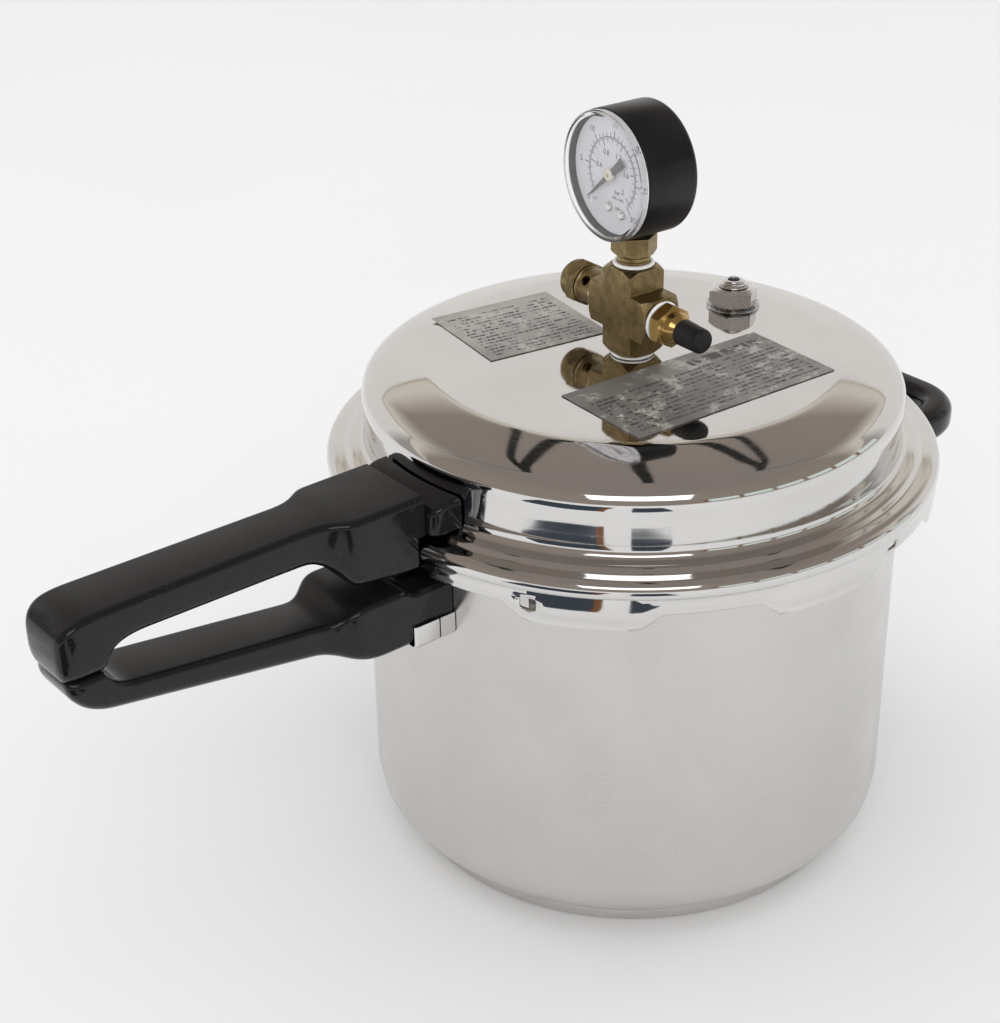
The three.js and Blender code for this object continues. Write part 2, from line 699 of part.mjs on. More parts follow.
function gaugeCase() {
  const wall = 1;
  const shell = turned(
    [
      [0, -GAUGE_BACK],
      [GAUGE_RADIUS - 1.2, -GAUGE_BACK],
      [GAUGE_RADIUS, -GAUGE_BACK + 1.2],
      [GAUGE_RADIUS, -GAUGE_FRONT],
      [GAUGE_RADIUS - wall, -GAUGE_FRONT],
      [GAUGE_RADIUS - wall, -GAUGE_BACK + wall],
      [0, -GAUGE_BACK + wall],
    ],
    48,
  );
  const placed = alongMinusX(shell).translate(0, 0, GAUGE_Z);
  return cut(placed, rod(4.5 + GAP, 255, GAUGE_Z - 15));
}

// Clear cup snapped on the front of the case.
function gaugeLens() {
  const wall = 1.3;
  const outer = GAUGE_RADIUS - 0.3;
  const front = -LENS_FRONT;
  const back = -GAUGE_FRONT + GAP;
  return alongMinusX(
    turned(
      [
        [0, front],
        [outer - 0.8, front],
        [outer, front - 0.8],
        [outer, back],
        [outer - wall, back],
        [outer - wall, front - 1.2],
        [0, front - 1.2],
      ],
      48,
    ),
  ).translate(0, 0, GAUGE_Z);
}

// Places on the gauge's face: across to the reader's right, and up.
const onFace = (geometry, right, up) => geometry.translate(0, -right, GAUGE_Z + up);

const dialScrewPlaces = { left: [-1.5, -13.2], right: [6.4, -14.6] };
const stopPinPlace = [-9.6, -12];

function gaugeDial() {
  const plate = alongMinusX(rod(DIAL_RADIUS, -DIAL_X - 0.6, -DIAL_X, 48)).translate(0, 0, GAUGE_Z);
  const hole = (radius, [right, up]) => onFace(alongMinusX(rod(radius, 0, 20, 16)), right, up);
  return cut(
    plate,
    hole(1.9, [0, 0]),
    hole(1.1, dialScrewPlaces.left),
    hole(1.1, dialScrewPlaces.right),
    hole(0.8, stopPinPlace),
  );
}

// Pointer blade with its tail, at rest against the stop pin, and the boss on its arbor.
function gaugePointer() {
  const blade = new THREE.Shape();
  blade.moveTo(-17.2, 0.15);
  blade.lineTo(-9, 0.85);
  blade.lineTo(0, 1.1);
  blade.lineTo(10.4, 1.9);
  blade.lineTo(10.4, -1.9);
  blade.lineTo(0, -1.1);
  blade.lineTo(-9, -0.85);
  blade.lineTo(-17.2, -0.15);
  blade.closePath();
  const flat = slab(blade, -DIAL_X + 1.2, -DIAL_X + 1.7);
  const boss = rod(2.5, -DIAL_X + 0.5, -DIAL_X + 2.6, 20);
  // drawn in XY with the reader's right along +X, then stood up to face along -X
  const stood = join(flat, boss).rotateZ(rad(POINTER_ZERO)).rotateX(Math.PI / 2).rotateZ(-Math.PI / 2);
  return stood.translate(0, 0, GAUGE_Z);
}

const faceRod = (radius, x0, x1, [right, up], sides = 12) =>
  onFace(alongMinusX(rod(radius, -x1, -x0, sides)), right, up);

const dialScrew = (place) =>
  join(faceRod(1.9, DIAL_X - 1.5, DIAL_X - GAP, place, 16), faceRod(0.8, DIAL_X - 1, DIAL_X + 4, place));
const stopPin = () => faceRod(0.5, DIAL_X - 2, DIAL_X + 2, stopPinPlace);
const pointerArbor = () => faceRod(1.4, DIAL_X - 0.2, 4, [0, 0]);

// Frame of the movement, behind the dial, with a hole for the arbor.
function movementPlate() {
  const plate = box(-5.4, -4, -9, 9, GAUGE_Z - 6, GAUGE_Z + 6);
  return cut(plate, faceRod(1.8, -9, 0, [0, 0]), faceRod(1, -9, 0, [-SECTOR_PIVOT, 0]));
}

// Toothed sector that turns the arbor, on a pivot of its own.
function sectorGear() {
  const shape = new THREE.Shape();
  shape.moveTo(-1.6, -1.4);
  shape.absarc(0, 0, 6.2, rad(-49), rad(15), false);
  shape.lineTo(-1.6, 1.4);
  shape.closePath();
  const wheel = slab(shape, 1, 2, 4).translate(-SECTOR_PIVOT, 0, 0);
  const pin = rod(0.7, 0.6, 6, 10).translate(-SECTOR_PIVOT, 0, 0);
  return alongMinusX(join(wheel, pin).rotateZ(-Math.PI / 2)).translate(0, 0, GAUGE_Z);
}

// Flattened tube bent to a C, which uncurls as the pressure rises.
function bourdonTube() {
  const shape = new THREE.Shape();
  shape.absarc(0, 0, 19, rad(-72), rad(200), false);
  shape.absarc(0, 0, 17.2, rad(200), rad(-72), true);
  shape.closePath();
  return slab(shape, -3, 3, 16).rotateX(Math.PI / 2).rotateZ(-Math.PI / 2).translate(4, 0, GAUGE_Z);
}

// ---- Relief valve -------------------------------------------------------------------------------

const onArm = (geometry) => alongPlusY(geometry).translate(0, 0, CROSS_Z);

function reliefBody() {
  const seat = 20.4;
  const barrel = turned(
    [
      [3, CROSS_ARM - 7.5],
      [THREAD_RADIUS, CROSS_ARM - 7.5],
      [THREAD_RADIUS, CROSS_ARM + 0.2],
      [RELIEF_RADIUS - 0.5, CROSS_ARM + 0.2],
      [RELIEF_RADIUS, CROSS_ARM + 0.8],
      [RELIEF_RADIUS, RELIEF_BARREL_END - 0.5],
      [RELIEF_RADIUS - 0.5, RELIEF_BARREL_END],
      [6.4, RELIEF_BARREL_END],
      [6.4, seat],
      [3, seat],
    ],
    20,
  );
  const holes = [0, 90].map((turn) =>
    rod(VENT_HOLE_RADIUS, -12, 12, 10).rotateY(Math.PI / 2).rotateZ(rad(turn + 40)).translate(0, 0, 24.2),
  );
  return onArm(cut(barrel, ...holes));
}

// Hexagonal cap with a round end; the stem comes out through its middle.
function reliefCap() {
  const hex = hexBar(RELIEF_HEX_FLATS, RELIEF_BARREL_END + GAP, 35);
  const end = turned(
    [
      [0, 34.5],
      [RELIEF_RADIUS + 0.2, 34.5],
      [RELIEF_RADIUS + 0.2, 38.6],
      [RELIEF_RADIUS - 2.4, RELIEF_CAP_END],
      [0, RELIEF_CAP_END],
    ],
    20,
  );
  const spigot = rod(6.1, 26.6, RELIEF_BARREL_END + 1);
  return onArm(cut(join(hex, end, spigot), rod(4.4, 20, 38), rod(1.5, 20, 45, 16)));
}

function reliefStem() {
  return onArm(join(rod(5.2, 22, 23.6), rod(1.2, 23, 42.4, 16), rod(1.9, 41.8, 44.2, 16)));
}

const reliefSeal = () => onArm(tube(2.4, 5.2, 20.7, 21.7));
const reliefSpring = () => onArm(coil(3.1, 0.5, 26.4, 37.6, 5));

// ---- Inlet valve --------------------------------------------------------------------------------

const onInlet = (geometry) => alongMinusY(geometry).translate(0, 0, CROSS_Z);

function inletBody() {
  const hexLow = 20.5;
  const hexHigh = 26.6;
  return onInlet(
    cut(
      join(
        rod(THREAD_RADIUS, CROSS_ARM - 7.5, hexLow + 0.5),
        hexBar(INLET_HEX_FLATS, hexLow, hexHigh, 0.9),
        turned([
          [0, hexHigh - 0.5],
          [6.6, hexHigh - 0.5],
          [6.3, 28.6],
          [5, 30.6],
          [INLET_STEM_RADIUS, 31.4],
          [INLET_STEM_RADIUS, 40.6],
          [INLET_STEM_RADIUS - 0.5, 41.2],
          [0, 41.2],
        ]),
      ),
      rod(2.4, CROSS_ARM - 9, 43, 16),
    ),
  );
}

const inletCore = () => onInlet(tube(0.9, 2.1, 31, 39.4, 16));
const inletPin = () => onInlet(join(rod(0.55, 27, 40.6, 10), rod(1.7, 26.4, 27.6, 16)));
const inletSpring = () => onInlet(coil(1.5, 0.25, 17, 24.6, 5));

function dustCap() {
  return onInlet(
    turned([
      [0, 42],
      [0, 44.8],
      [DUST_CAP_RADIUS - 1.6, 44.8],
      [DUST_CAP_RADIUS - 0.4, 43.8],
      [DUST_CAP_RADIUS - 0.1, 42.4],
      [DUST_CAP_RADIUS, 32],
      [DUST_CAP_RADIUS - 0.6, 31.7],
      [INLET_STEM_RADIUS + GAP, 31.7],
      [INLET_STEM_RADIUS + GAP, 42],
    ]),
  );
}

// Turns of white sealing tape that show at a threaded joint.
const tapeRing = (z0) => tube(THREAD_RADIUS + GAP, 8.4, z0, z0 + 1.2);

// ---- Vent fitting -------------------------------------------------------------------------------

function ventPlace() {
  return [
    VENT_RADIUS_FROM_AXIS * Math.cos(rad(VENT_ANGLE)),
    VENT_RADIUS_FROM_AXIS * Math.sin(rad(VENT_ANGLE)),
  ];
}

function ventFitting() {
  return turned([
    [VENT_BORE, LID_TOP - 8],
    [VENT_THREAD, LID_TOP - 8],
    [VENT_THREAD, LID_TOP + 9.3],
    [6.5, LID_TOP + 9.3],
    [6.5, LID_TOP + 10],
    [4.2, LID_TOP + 11],
    [3.8, LID_TOP + 11.8],
    [VENT_BORE, LID_TOP + 11.8],
  ]);
}

const ventThreadHole = () => rod(VENT_THREAD + GAP, 200, 230);
const ventNut = () => cut(hexBar(VENT_FLATS, LID_TOP + 1.8, LID_TOP + 9, 1.4), ventThreadHole());
const ventWasher = () => tube(VENT_THREAD + GAP, 11.2, LID_TOP + GAP, LID_TOP + 1.5);
const ventLockNut = () => cut(hexBar(16, LID_TOP - 6.6, LID_TOP - 1.8), ventThreadHole());

function label({ size: [length, width] }) {
  return box(-length / 2, length / 2, -width / 2, width / 2, 0, LABEL_THICK);
}

// ---- Assembly -----------------------------------------------------------------------------------

add(root, "base_cap", baseCap(), SATIN_STEEL);
add(root, "base_core", baseCore(), ALUMINIUM);
add(root, "pot_body", potBody(), POLISHED);
add(root, "pot_handle_bracket", potHandleBracket(), SATIN_STEEL);
add(root, "lower_handle", lowerHandle(), PHENOLIC);
add(root, "flame_guard", flameGuard(), POLISHED);
add(root, "lower_handle_screw", screwFromBelow(lowerScrewPlace, 134.8, 149.8), SATIN_STEEL);
add(root, "helper_bracket", helperBracket(), SATIN_STEEL);
add(root, "helper_handle", helperHandle(), PHENOLIC);
helperScrewPlaces.forEach((place, i) => {
  add(root, "helper_screw_" + ["front", "rear"][i], screwFromBelow(place, 145.2, 154), SATIN_STEEL);
});

add(root, "lid_shell", lidShell(), POLISHED);
add(root, "lid_gasket", gasket(), RUBBER);
add(root, "lid_handle_bracket", lidHandleBracket(), SATIN_STEEL);
add(root, "handle_guard", handleGuard(), PHENOLIC);
add(root, "upper_handle", upperHandle(), PHENOLIC);
upperScrewPlaces.forEach((place, i) => {
  add(root, "upper_handle_screw_" + ["inner", "outer"][i], screwFromBelow(place, 168.6, 189), SATIN_STEEL);
});
for (const [name, plate] of Object.entries(LABELS)) {
  const mesh = add(root, name, label(plate), FOIL);
  mesh.position.set(plate.at[0], plate.at[1], LID_TOP + GAP / 2);
  mesh.rotation.z = rad(plate.turn);
}

const [ventX, ventY] = ventPlace();
const ventPieces = {
  vent_fitting: [ventFitting, SATIN_STEEL],
  vent_nut: [ventNut, SATIN_STEEL],
  vent_washer: [ventWasher, CLEAR],
  vent_lock_nut: [ventLockNut, SATIN_STEEL],
};
for (const [name, [make, look]] of Object.entries(ventPieces)) {
  add(root, name, make(), look).position.set(ventX, ventY, 0);
}

add(fittings, "cross_seal", crossSeal(), TAPE);
add(fittings, "cross_body", crossBody(), DULL_BRASS);
add(fittings, "cross_nipple", crossNipple(), DULL_BRASS);
add(fittings, "lid_washer", lidWasher(), RUBBER);
add(fittings, "lid_lock_nut", lockNut(), DULL_BRASS);
add(fittings, "gauge_tape", tapeRing(CROSS_Z + CROSS_ARM + GAP), TAPE);
add(fittings, "gauge_socket", gaugeSocket(), DULL_BRASS);
add(fittings, "gauge_case", gaugeCase(), CASE_BLACK);
add(fittings, "gauge_lens", gaugeLens(), CLEAR);
add(fittings, "gauge_dial", gaugeDial(), DIAL_WHITE);
add(fittings, "gauge_pointer", gaugePointer(), POINTER_GREY);
add(fittings, "pointer_arbor", pointerArbor(), BRIGHT_BRASS);
add(fittings, "pointer_stop_pin", stopPin(), SATIN_STEEL);
for (const [side, place] of Object.entries(dialScrewPlaces)) {
  add(fittings, "dial_screw_" + side, dialScrew(place), SATIN_STEEL);
}
add(fittings, "movement_plate", movementPlate(), BRIGHT_BRASS);
add(fittings, "sector_gear", sectorGear(), BRIGHT_BRASS);
add(fittings, "bourdon_tube", bourdonTube(), BRIGHT_BRASS);
add(fittings, "relief_body", reliefBody(), DULL_BRASS);
add(fittings, "relief_cap", reliefCap(), DULL_BRASS);
add(fittings, "relief_stem", reliefStem(), BRIGHT_BRASS);
add(fittings, "relief_seal", reliefSeal(), RUBBER);
add(fittings, "relief_spring", reliefSpring(), SATIN_STEEL);
add(fittings, "inlet_tape", onInlet(tapeRing(CROSS_ARM + GAP)), TAPE);
add(fittings, "inlet_body", inletBody(), BRIGHT_BRASS);
add(fittings, "inlet_core", inletCore(), BRIGHT_BRASS);
add(fittings, "inlet_pin", inletPin(), SATIN_STEEL);
add(fittings, "inlet_spring", inletSpring(), SATIN_STEEL);
add(fittings, "dust_cap", dustCap(), RUBBER);

export default root;
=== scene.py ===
"""A stove-top pressure pot with a bayonet lid and brass air fittings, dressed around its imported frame.

Lengths inside the makers are millimetres; every finished mesh is in metres, in the frame's own axes.
"""

import math

import bmesh
import bpy
from bpy.props import FloatProperty, FloatVectorProperty, IntProperty, PointerProperty
from mathutils import Matrix, Vector
from mathutils.geometry import interpolate_bezier


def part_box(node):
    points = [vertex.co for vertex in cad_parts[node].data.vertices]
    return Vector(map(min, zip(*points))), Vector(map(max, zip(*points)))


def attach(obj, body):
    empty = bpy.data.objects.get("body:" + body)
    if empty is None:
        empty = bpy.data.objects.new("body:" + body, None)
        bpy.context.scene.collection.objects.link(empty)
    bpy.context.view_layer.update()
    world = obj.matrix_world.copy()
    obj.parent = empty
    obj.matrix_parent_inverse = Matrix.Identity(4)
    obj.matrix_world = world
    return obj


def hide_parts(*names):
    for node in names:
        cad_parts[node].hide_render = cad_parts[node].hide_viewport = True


bl_info = {
    "name": "Pressure Canner Parts",
    "version": (1, 0, 0),
    "blender": (4, 5, 0),
    "location": "View3D > Sidebar > Canner",
    "description": "Builds the smooth pieces and finishes of a pressure pot around its frame",
    "category": "Object",
}

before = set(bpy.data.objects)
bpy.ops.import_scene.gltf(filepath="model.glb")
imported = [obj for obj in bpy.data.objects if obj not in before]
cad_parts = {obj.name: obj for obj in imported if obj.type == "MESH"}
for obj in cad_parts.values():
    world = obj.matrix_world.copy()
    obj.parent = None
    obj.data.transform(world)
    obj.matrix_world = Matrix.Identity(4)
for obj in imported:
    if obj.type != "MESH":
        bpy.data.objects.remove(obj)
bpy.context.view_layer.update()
MM = 0.001


def low(node):
    """Lowest corner of a frame node, in millimetres."""
    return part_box(node)[0] / MM


def high(node):
    """Highest corner of a frame node, in millimetres."""
    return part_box(node)[1] / MM


# ---- Sizes and colours ---------------------------------------------------------------------------


def length(name, description, default_mm):
    return FloatProperty(
        name=name, description=description, default=default_mm * MM, min=0.0, unit="LENGTH", precision=5
    )


def colour(name, description, default):
    return FloatVectorProperty(
        name=name, description=description, default=default, size=3, min=0.0, max=1.0, subtype="COLOR"
    )


class CannerSizes(bpy.types.PropertyGroup):
    turn_steps: IntProperty(
        name="Turning steps", description="Faces round the large turned shells", default=160, min=24, max=360
    )
    lug_steps: IntProperty(
        name="Lid steps", description="Faces round the lid, a multiple of the lug pitch", default=240, min=120
    )
    pot_wall: length("Pot wall", "Thickness of the pot's steel", 1.2)
    pot_corner: length("Pot corner", "Radius between the pot's wall and floor", 20.0)
    lid_wall: length("Lid wall", "Thickness of the lid's steel", 1.2)
    lid_crown: length("Crown radius", "Radius of the lid's flat middle", 82.0)
    handle_edge: length("Handle edge", "Rounding of the long handles' upper edges", 2.6)
    handle_belly: length("Handle underside", "Rounding of the long handles' lower edges", 4.6)
    gauge_edge: length("Gauge edge", "Rounding of the gauge case's back edge", 2.4)
    brass_edge: length("Brass edge", "Rounding of the brass cross's long edges", 0.7)


class CannerFinishes(bpy.types.PropertyGroup):
    lid_steel: colour("Lid steel", "Mirror-polished steel of the lid", (0.70, 0.69, 0.68))
    pot_steel: colour("Pot steel", "Softly polished steel of the pot", (0.66, 0.645, 0.63))
    phenolic: colour("Handle black", "Moulded phenolic of the handles", (0.0075, 0.0078, 0.0085))
    old_brass: colour("Old brass", "Browned brass of the cross and relief valve", (0.32, 0.235, 0.11))
    new_brass: colour("New brass", "Bright brass of the inlet valve", (0.55, 0.38, 0.14))
    dial: colour("Dial", "Face of the pressure gauge", (0.61, 0.587, 0.62))
    ink: colour("Dial ink", "Scale printed on the dial", (0.035, 0.045, 0.10))
    foil: colour("Label foil", "Grey printed foil of the two labels", (0.33, 0.315, 0.30))


def sizes():
    return bpy.context.scene.canner_sizes


def finishes():
    return bpy.context.scene.canner_finishes


# ---- Mesh makers ---------------------------------------------------------------------------------


def move(bm, matrix, verts=None):
    bmesh.ops.transform(bm, matrix=matrix, verts=verts if verts is not None else bm.verts)
    return bm


def shift(x=0.0, y=0.0, z=0.0):
    return Matrix.Translation((x, y, z))


def turn(degrees, axis="Z"):
    return Matrix.Rotation(math.radians(degrees), 4, axis)


def quad_curve(start, control, end, steps=8):
    """Points of a quadratic curve after its start."""
    a, c, b = (Vector((*p, 0.0)) for p in (start, control, end))
    points = interpolate_bezier(a, a.lerp(c, 2 / 3), b.lerp(c, 2 / 3), b, steps + 1)
    return [(p.x, p.y) for p in points[1:]]


def cubic_curve(start, first, second, end, steps=10):
    """Points of a cubic curve after its start."""
    a, b, c, d = (Vector((*p, 0.0)) for p in (start, first, second, end))
    return [(p.x, p.y) for p in interpolate_bezier(a, b, c, d, steps + 1)[1:]]


def wire(points, closed=True, segments=5):
    """Edges through (radius, height) points; a third number rounds that corner to a radius."""
    bm = bmesh.new()
    verts = [bm.verts.new((p[0], 0.0, p[1])) for p in points]
    for a, b in zip(verts, verts[1:]):
        bm.edges.new((a, b))
    if closed:
        bm.edges.new((verts[-1], verts[0]))
    for i, p in enumerate(points):
        if len(p) < 3 or not p[2]:
            continue
        before = Vector(points[i - 1][:2]) - Vector(p[:2])
        after = Vector(points[(i + 1) % len(points)][:2]) - Vector(p[:2])
        reach = p[2] * math.tan((math.pi - before.angle(after)) / 2)
        bmesh.ops.bevel(
            bm, geom=[verts[i]], offset=reach, offset_type="OFFSET", segments=segments,
            profile=0.5, affect="VERTICES", material=-1,
        )
    return bm


def spun(bm, steps, degrees=360.0):
    full = degrees >= 360.0
    bmesh.ops.spin(
        bm, geom=bm.verts[:] + bm.edges[:], cent=(0, 0, 0), axis=(0, 0, 1),
        angle=math.radians(degrees), steps=steps, use_merge=full, use_duplicate=False,
    )
    bmesh.ops.remove_doubles(bm, verts=bm.verts, dist=1e-4)
    if not full:
        bmesh.ops.holes_fill(bm, edges=[e for e in bm.edges if e.is_boundary], sides=0)
    bmesh.ops.recalc_face_normals(bm, faces=bm.faces)
    return bm


def turned(points, steps=64):
    """A closed wall or solid turned about Z."""
    return spun(wire(points), steps)


def solid_turned(points, steps=64):
    """A solid whose outline starts and ends on the axis."""
    return spun(wire(points, closed=False), steps)


def hex_prism(flats, z0, z1):
    bm = bmesh.new()
    corner = flats / 2 / math.cos(math.pi / 6)
    bmesh.ops.create_cone(
        bm, cap_ends=True, segments=6, radius1=corner, radius2=corner, depth=z1 - z0
    )
    return move(bm, shift(z=(z0 + z1) / 2))


def block(x0, x1, y0, y1, z0, z1):
    bm = bmesh.new()
    bmesh.ops.create_cube(bm, size=1.0)
    bmesh.ops.scale(bm, vec=(x1 - x0, y1 - y0, z1 - z0), verts=bm.verts)
    return move(bm, shift((x0 + x1) / 2, (y0 + y1) / 2, (z0 + z1) / 2))


def merged(*parts):
    """Several solids in one mesh."""
    bm = bmesh.new()
    for part in parts:
        mesh = bpy.data.meshes.new("part")
        part.to_mesh(mesh)
        part.free()
        bm.from_mesh(mesh)
        bpy.data.meshes.remove(mesh)
    return bm


def carved(body, tool, operation="DIFFERENCE"):
    """The body with the tool's volume taken off, or only what both share."""
    objects = []
    for source in (body, tool):
        mesh = bpy.data.meshes.new("carving")
        source.to_mesh(mesh)
        source.free()
        obj = bpy.data.objects.new("carving", mesh)
        bpy.context.scene.collection.objects.link(obj)
        objects.append(obj)
    cut = objects[0].modifiers.new("Carve", "BOOLEAN")
    cut.operation = operation
    cut.solver = "EXACT"
    cut.use_self = True
    cut.object = objects[1]
    ready = objects[0].evaluated_get(bpy.context.evaluated_depsgraph_get())
    result = bpy.data.meshes.new_from_object(ready)
    bm = bmesh.new()
    bm.from_mesh(result)
    for obj in objects:
        mesh = obj.data
        bpy.data.objects.remove(obj)
        bpy.data.meshes.remove(mesh)
    bpy.data.meshes.remove(result)
    if not bm.faces:
        raise RuntimeError("a carved piece came out empty")
    bmesh.ops.remove_doubles(bm, verts=bm.verts, dist=1e-4)
    bmesh.ops.dissolve_degenerate(bm, edges=bm.edges, dist=1e-4)
    bmesh.ops.recalc_face_normals(bm, faces=bm.faces)
    return bm


def soften(bm, offset, degrees=40.0, segments=3, keep=None):
    """Round every edge sharper than an angle."""
    limit = math.radians(degrees)
    edges = [
        e for e in bm.edges
        if len(e.link_faces) == 2 and e.calc_face_angle(0.0) > limit and (keep is None or keep(e))
    ]
    bmesh.ops.bevel(
        bm, geom=edges, offset=offset, offset_type="OFFSET", segments=segments, profile=0.5,
        affect="EDGES", clamp_overlap=True, material=-1,
    )
    return bm


def cross_section(bm, place, half_width, bottom, top, low_round, high_round, segments=5):
    """A rounded outline across a bar, with local Y across, Z up; returns its edges."""
    known = set(bm.verts)
    corners = [(-half_width, bottom), (half_width, bottom), (half_width, top), (-half_width, top)]
    verts = [bm.verts.new((0.0, y, z)) for y, z in corners]
    for i in range(4):
        bm.edges.new((verts[i], verts[(i + 1) % 4]))
    room = 0.48 * min(2 * half_width, top - bottom)
    for pair, radius in ((verts[:2], low_round), (verts[2:], high_round)):
        bmesh.ops.bevel(
            bm, geom=pair, offset=min(radius, room), offset_type="OFFSET", segments=segments,
            profile=0.5, affect="VERTICES", material=-1,
        )
    fresh = [v for v in bm.verts if v not in known]
    move(bm, place, fresh)
    return [e for e in bm.edges if e.verts[0] not in known and e.verts[1] not in known]


def lofted(stations, segments=5):
    """A bar through cross-sections, each a dict of what cross_section takes, with both ends closed."""
    bm = bmesh.new()
    rings = [cross_section(bm, segments=segments, **station) for station in stations]
    for a, b in zip(rings, rings[1:]):
        bmesh.ops.bridge_loops(bm, edges=a + b)
    for ring in (rings[0], rings[-1]):
        bmesh.ops.contextual_create(bm, geom=ring)
    bmesh.ops.recalc_face_normals(bm, faces=bm.faces)
    return bm


def at(curve, x):
    """Height of a polyline at x."""
    for (x0, y0), (x1, y1) in zip(curve, curve[1:]):
        if x0 <= x <= x1 and x1 > x0:
            return y0 + (y1 - y0) * (x - x0) / (x1 - x0)
    return curve[0][1] if x < curve[0][0] else curve[-1][1]


def piece(bm, name, body, material, nodes=(), sharp=32.0, place=None):
    """Turn a mesh in millimetres into a finished piece that rides on a body of the frame."""
    if place is not None:
        move(bm, place)
    bmesh.ops.scale(bm, vec=(MM, MM, MM), verts=bm.verts)
    limit = math.radians(sharp)
    for face in bm.faces:
        face.smooth = True
    for edge in bm.edges:
        edge.smooth = len(edge.link_faces) != 2 or edge.calc_face_angle(0.0) <= limit
    mesh = bpy.data.meshes.new(name)
    bm.to_mesh(mesh)
    bm.free()
    for each in material if isinstance(material, (list, tuple)) else [material]:
        mesh.materials.append(each)
    obj = bpy.data.objects.new(name, mesh)
    bpy.context.scene.collection.objects.link(obj)
    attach(obj, body)
    if nodes:
        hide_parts(*nodes)
    return obj


# ---- Shared shader groups ------------------------------------------------------------------------


class Sheet:
    """A node tree with short calls to add and join nodes."""

    def __init__(self, tree):
        self.tree = tree

    def node(self, kind, **settings):
        made = self.tree.nodes.new(kind)
        for key, value in settings.items():
            setattr(made, key, value)
        return made

    def join(self, source, target):
        self.tree.links.new(source, target)

    def value(self, socket, given):
        """Set a socket to a number, or join it to another socket."""
        if isinstance(given, bpy.types.NodeSocket):
            self.join(given, socket)
        else:
            socket.default_value = given

    def maths(self, operation, a, b=0.0, c=0.0, clamp=False):
        made = self.node("ShaderNodeMath", operation=operation, use_clamp=clamp)
        for socket, given in zip(made.inputs, (a, b, c)):
            self.value(socket, given)
        return made.outputs[0]

    def noise(self, vector, scale, detail=3.0, roughness=0.55):
        made = self.node("ShaderNodeTexNoise")
        self.value(made.inputs["Vector"], vector)
        self.value(made.inputs["Scale"], scale)
        self.value(made.inputs["Detail"], detail)
        self.value(made.inputs["Roughness"], roughness)
        return made.outputs["Fac"]

    def spread(self, value, low_in, high_in, low_out=0.0, high_out=1.0):
        made = self.node("ShaderNodeMapRange", clamp=True)
        for socket, given in zip(made.inputs, (value, low_in, high_in, low_out, high_out)):
            self.value(socket, given)
        return made.outputs[0]

    def blend(self, factor, first, second):
        made = self.node("ShaderNodeMix", data_type="RGBA")
        self.value(made.inputs["Factor"], factor)
        for socket, given in ((made.inputs["A"], first), (made.inputs["B"], second)):
            self.value(socket, (*given, 1.0) if isinstance(given, (tuple, list)) else given)
        return made.outputs["Result"]

    def object_place(self):
        return self.node("ShaderNodeTexCoord").outputs["Object"]

    def mapped(self, vector, location=(0, 0, 0), rotation=(0, 0, 0), scale=(1, 1, 1)):
        made = self.node("ShaderNodeMapping")
        self.value(made.inputs["Vector"], vector)
        made.inputs["Location"].default_value = location
        made.inputs["Rotation"].default_value = rotation
        made.inputs["Scale"].default_value = scale
        return made.outputs[0]


def shader_group(name, inputs, outputs):
    tree = bpy.data.node_groups.new(name, "ShaderNodeTree")
    for label, default in inputs.items():
        socket = tree.interface.new_socket(label, in_out="INPUT", socket_type="NodeSocketFloat")
        socket.default_value = default
    for label in outputs:
        tree.interface.new_socket(label, in_out="OUTPUT", socket_type="NodeSocketFloat")
    sheet = Sheet(tree)
    return sheet, sheet.node("NodeGroupInput"), sheet.node("NodeGroupOutput")


def make_groups():
    """Surface effects that several finishes share."""
    sheet, given, result = shader_group(
        "Handled Surface", {"Patch Size": 30.0, "Dust Size": 900.0}, ("Patches", "Dust")
    )
    place = sheet.object_place()
    patches = sheet.noise(place, given.outputs["Patch Size"], 4.0, 0.6)
    sheet.join(sheet.spread(patches, 0.38, 0.66), result.inputs["Patches"])
    specks = sheet.noise(place, given.outputs["Dust Size"], 2.0, 0.5)
    sheet.join(sheet.spread(specks, 0.66, 0.74), result.inputs["Dust"])

    sheet, given, result = shader_group(
        "Turning Marks", {"Pitch": 1500.0, "Around": 6.0}, ("Height", "Mask")
    )
    parts = sheet.node("ShaderNodeSeparateXYZ")
    sheet.join(sheet.object_place(), parts.inputs[0])
    x, y, z = parts.outputs
    radius = sheet.maths(
        "SQRT", sheet.maths("ADD", sheet.maths("MULTIPLY", x, x), sheet.maths("MULTIPLY", y, y))
    )
    drift = sheet.noise(sheet.object_place(), given.outputs["Around"], 1.0)
    ring = sheet.node("ShaderNodeCombineXYZ")
    sheet.join(sheet.maths("MULTIPLY", radius, given.outputs["Pitch"]), ring.inputs[0])
    sheet.join(sheet.maths("MULTIPLY", z, given.outputs["Pitch"]), ring.inputs[1])
    sheet.join(sheet.maths("MULTIPLY", drift, 4.0), ring.inputs[2])
    lines = sheet.noise(ring.outputs[0], 1.0, 3.0, 0.6)
    sheet.join(lines, result.inputs["Height"])
    sheet.join(sheet.spread(lines, 0.35, 0.65), result.inputs["Mask"])

    sheet, given, result = shader_group(
        "Worn Edges", {"Width": 0.0006, "Break Up": 500.0}, ("Mask",)
    )
    soft = sheet.node("ShaderNodeBevel", samples=4)
    sheet.join(given.outputs["Width"], soft.inputs["Radius"])
    facing = sheet.node("ShaderNodeVectorMath", operation="DOT_PRODUCT")
    sheet.join(soft.outputs[0], facing.inputs[0])
    sheet.join(sheet.node("ShaderNodeNewGeometry").outputs["Normal"], facing.inputs[1])
    edge = sheet.spread(facing.outputs["Value"], 0.995, 0.94)
    crumbs = sheet.spread(sheet.noise(sheet.object_place(), given.outputs["Break Up"], 3.0), 0.40, 0.62)
    sheet.join(sheet.maths("MULTIPLY", edge, crumbs), result.inputs["Mask"])


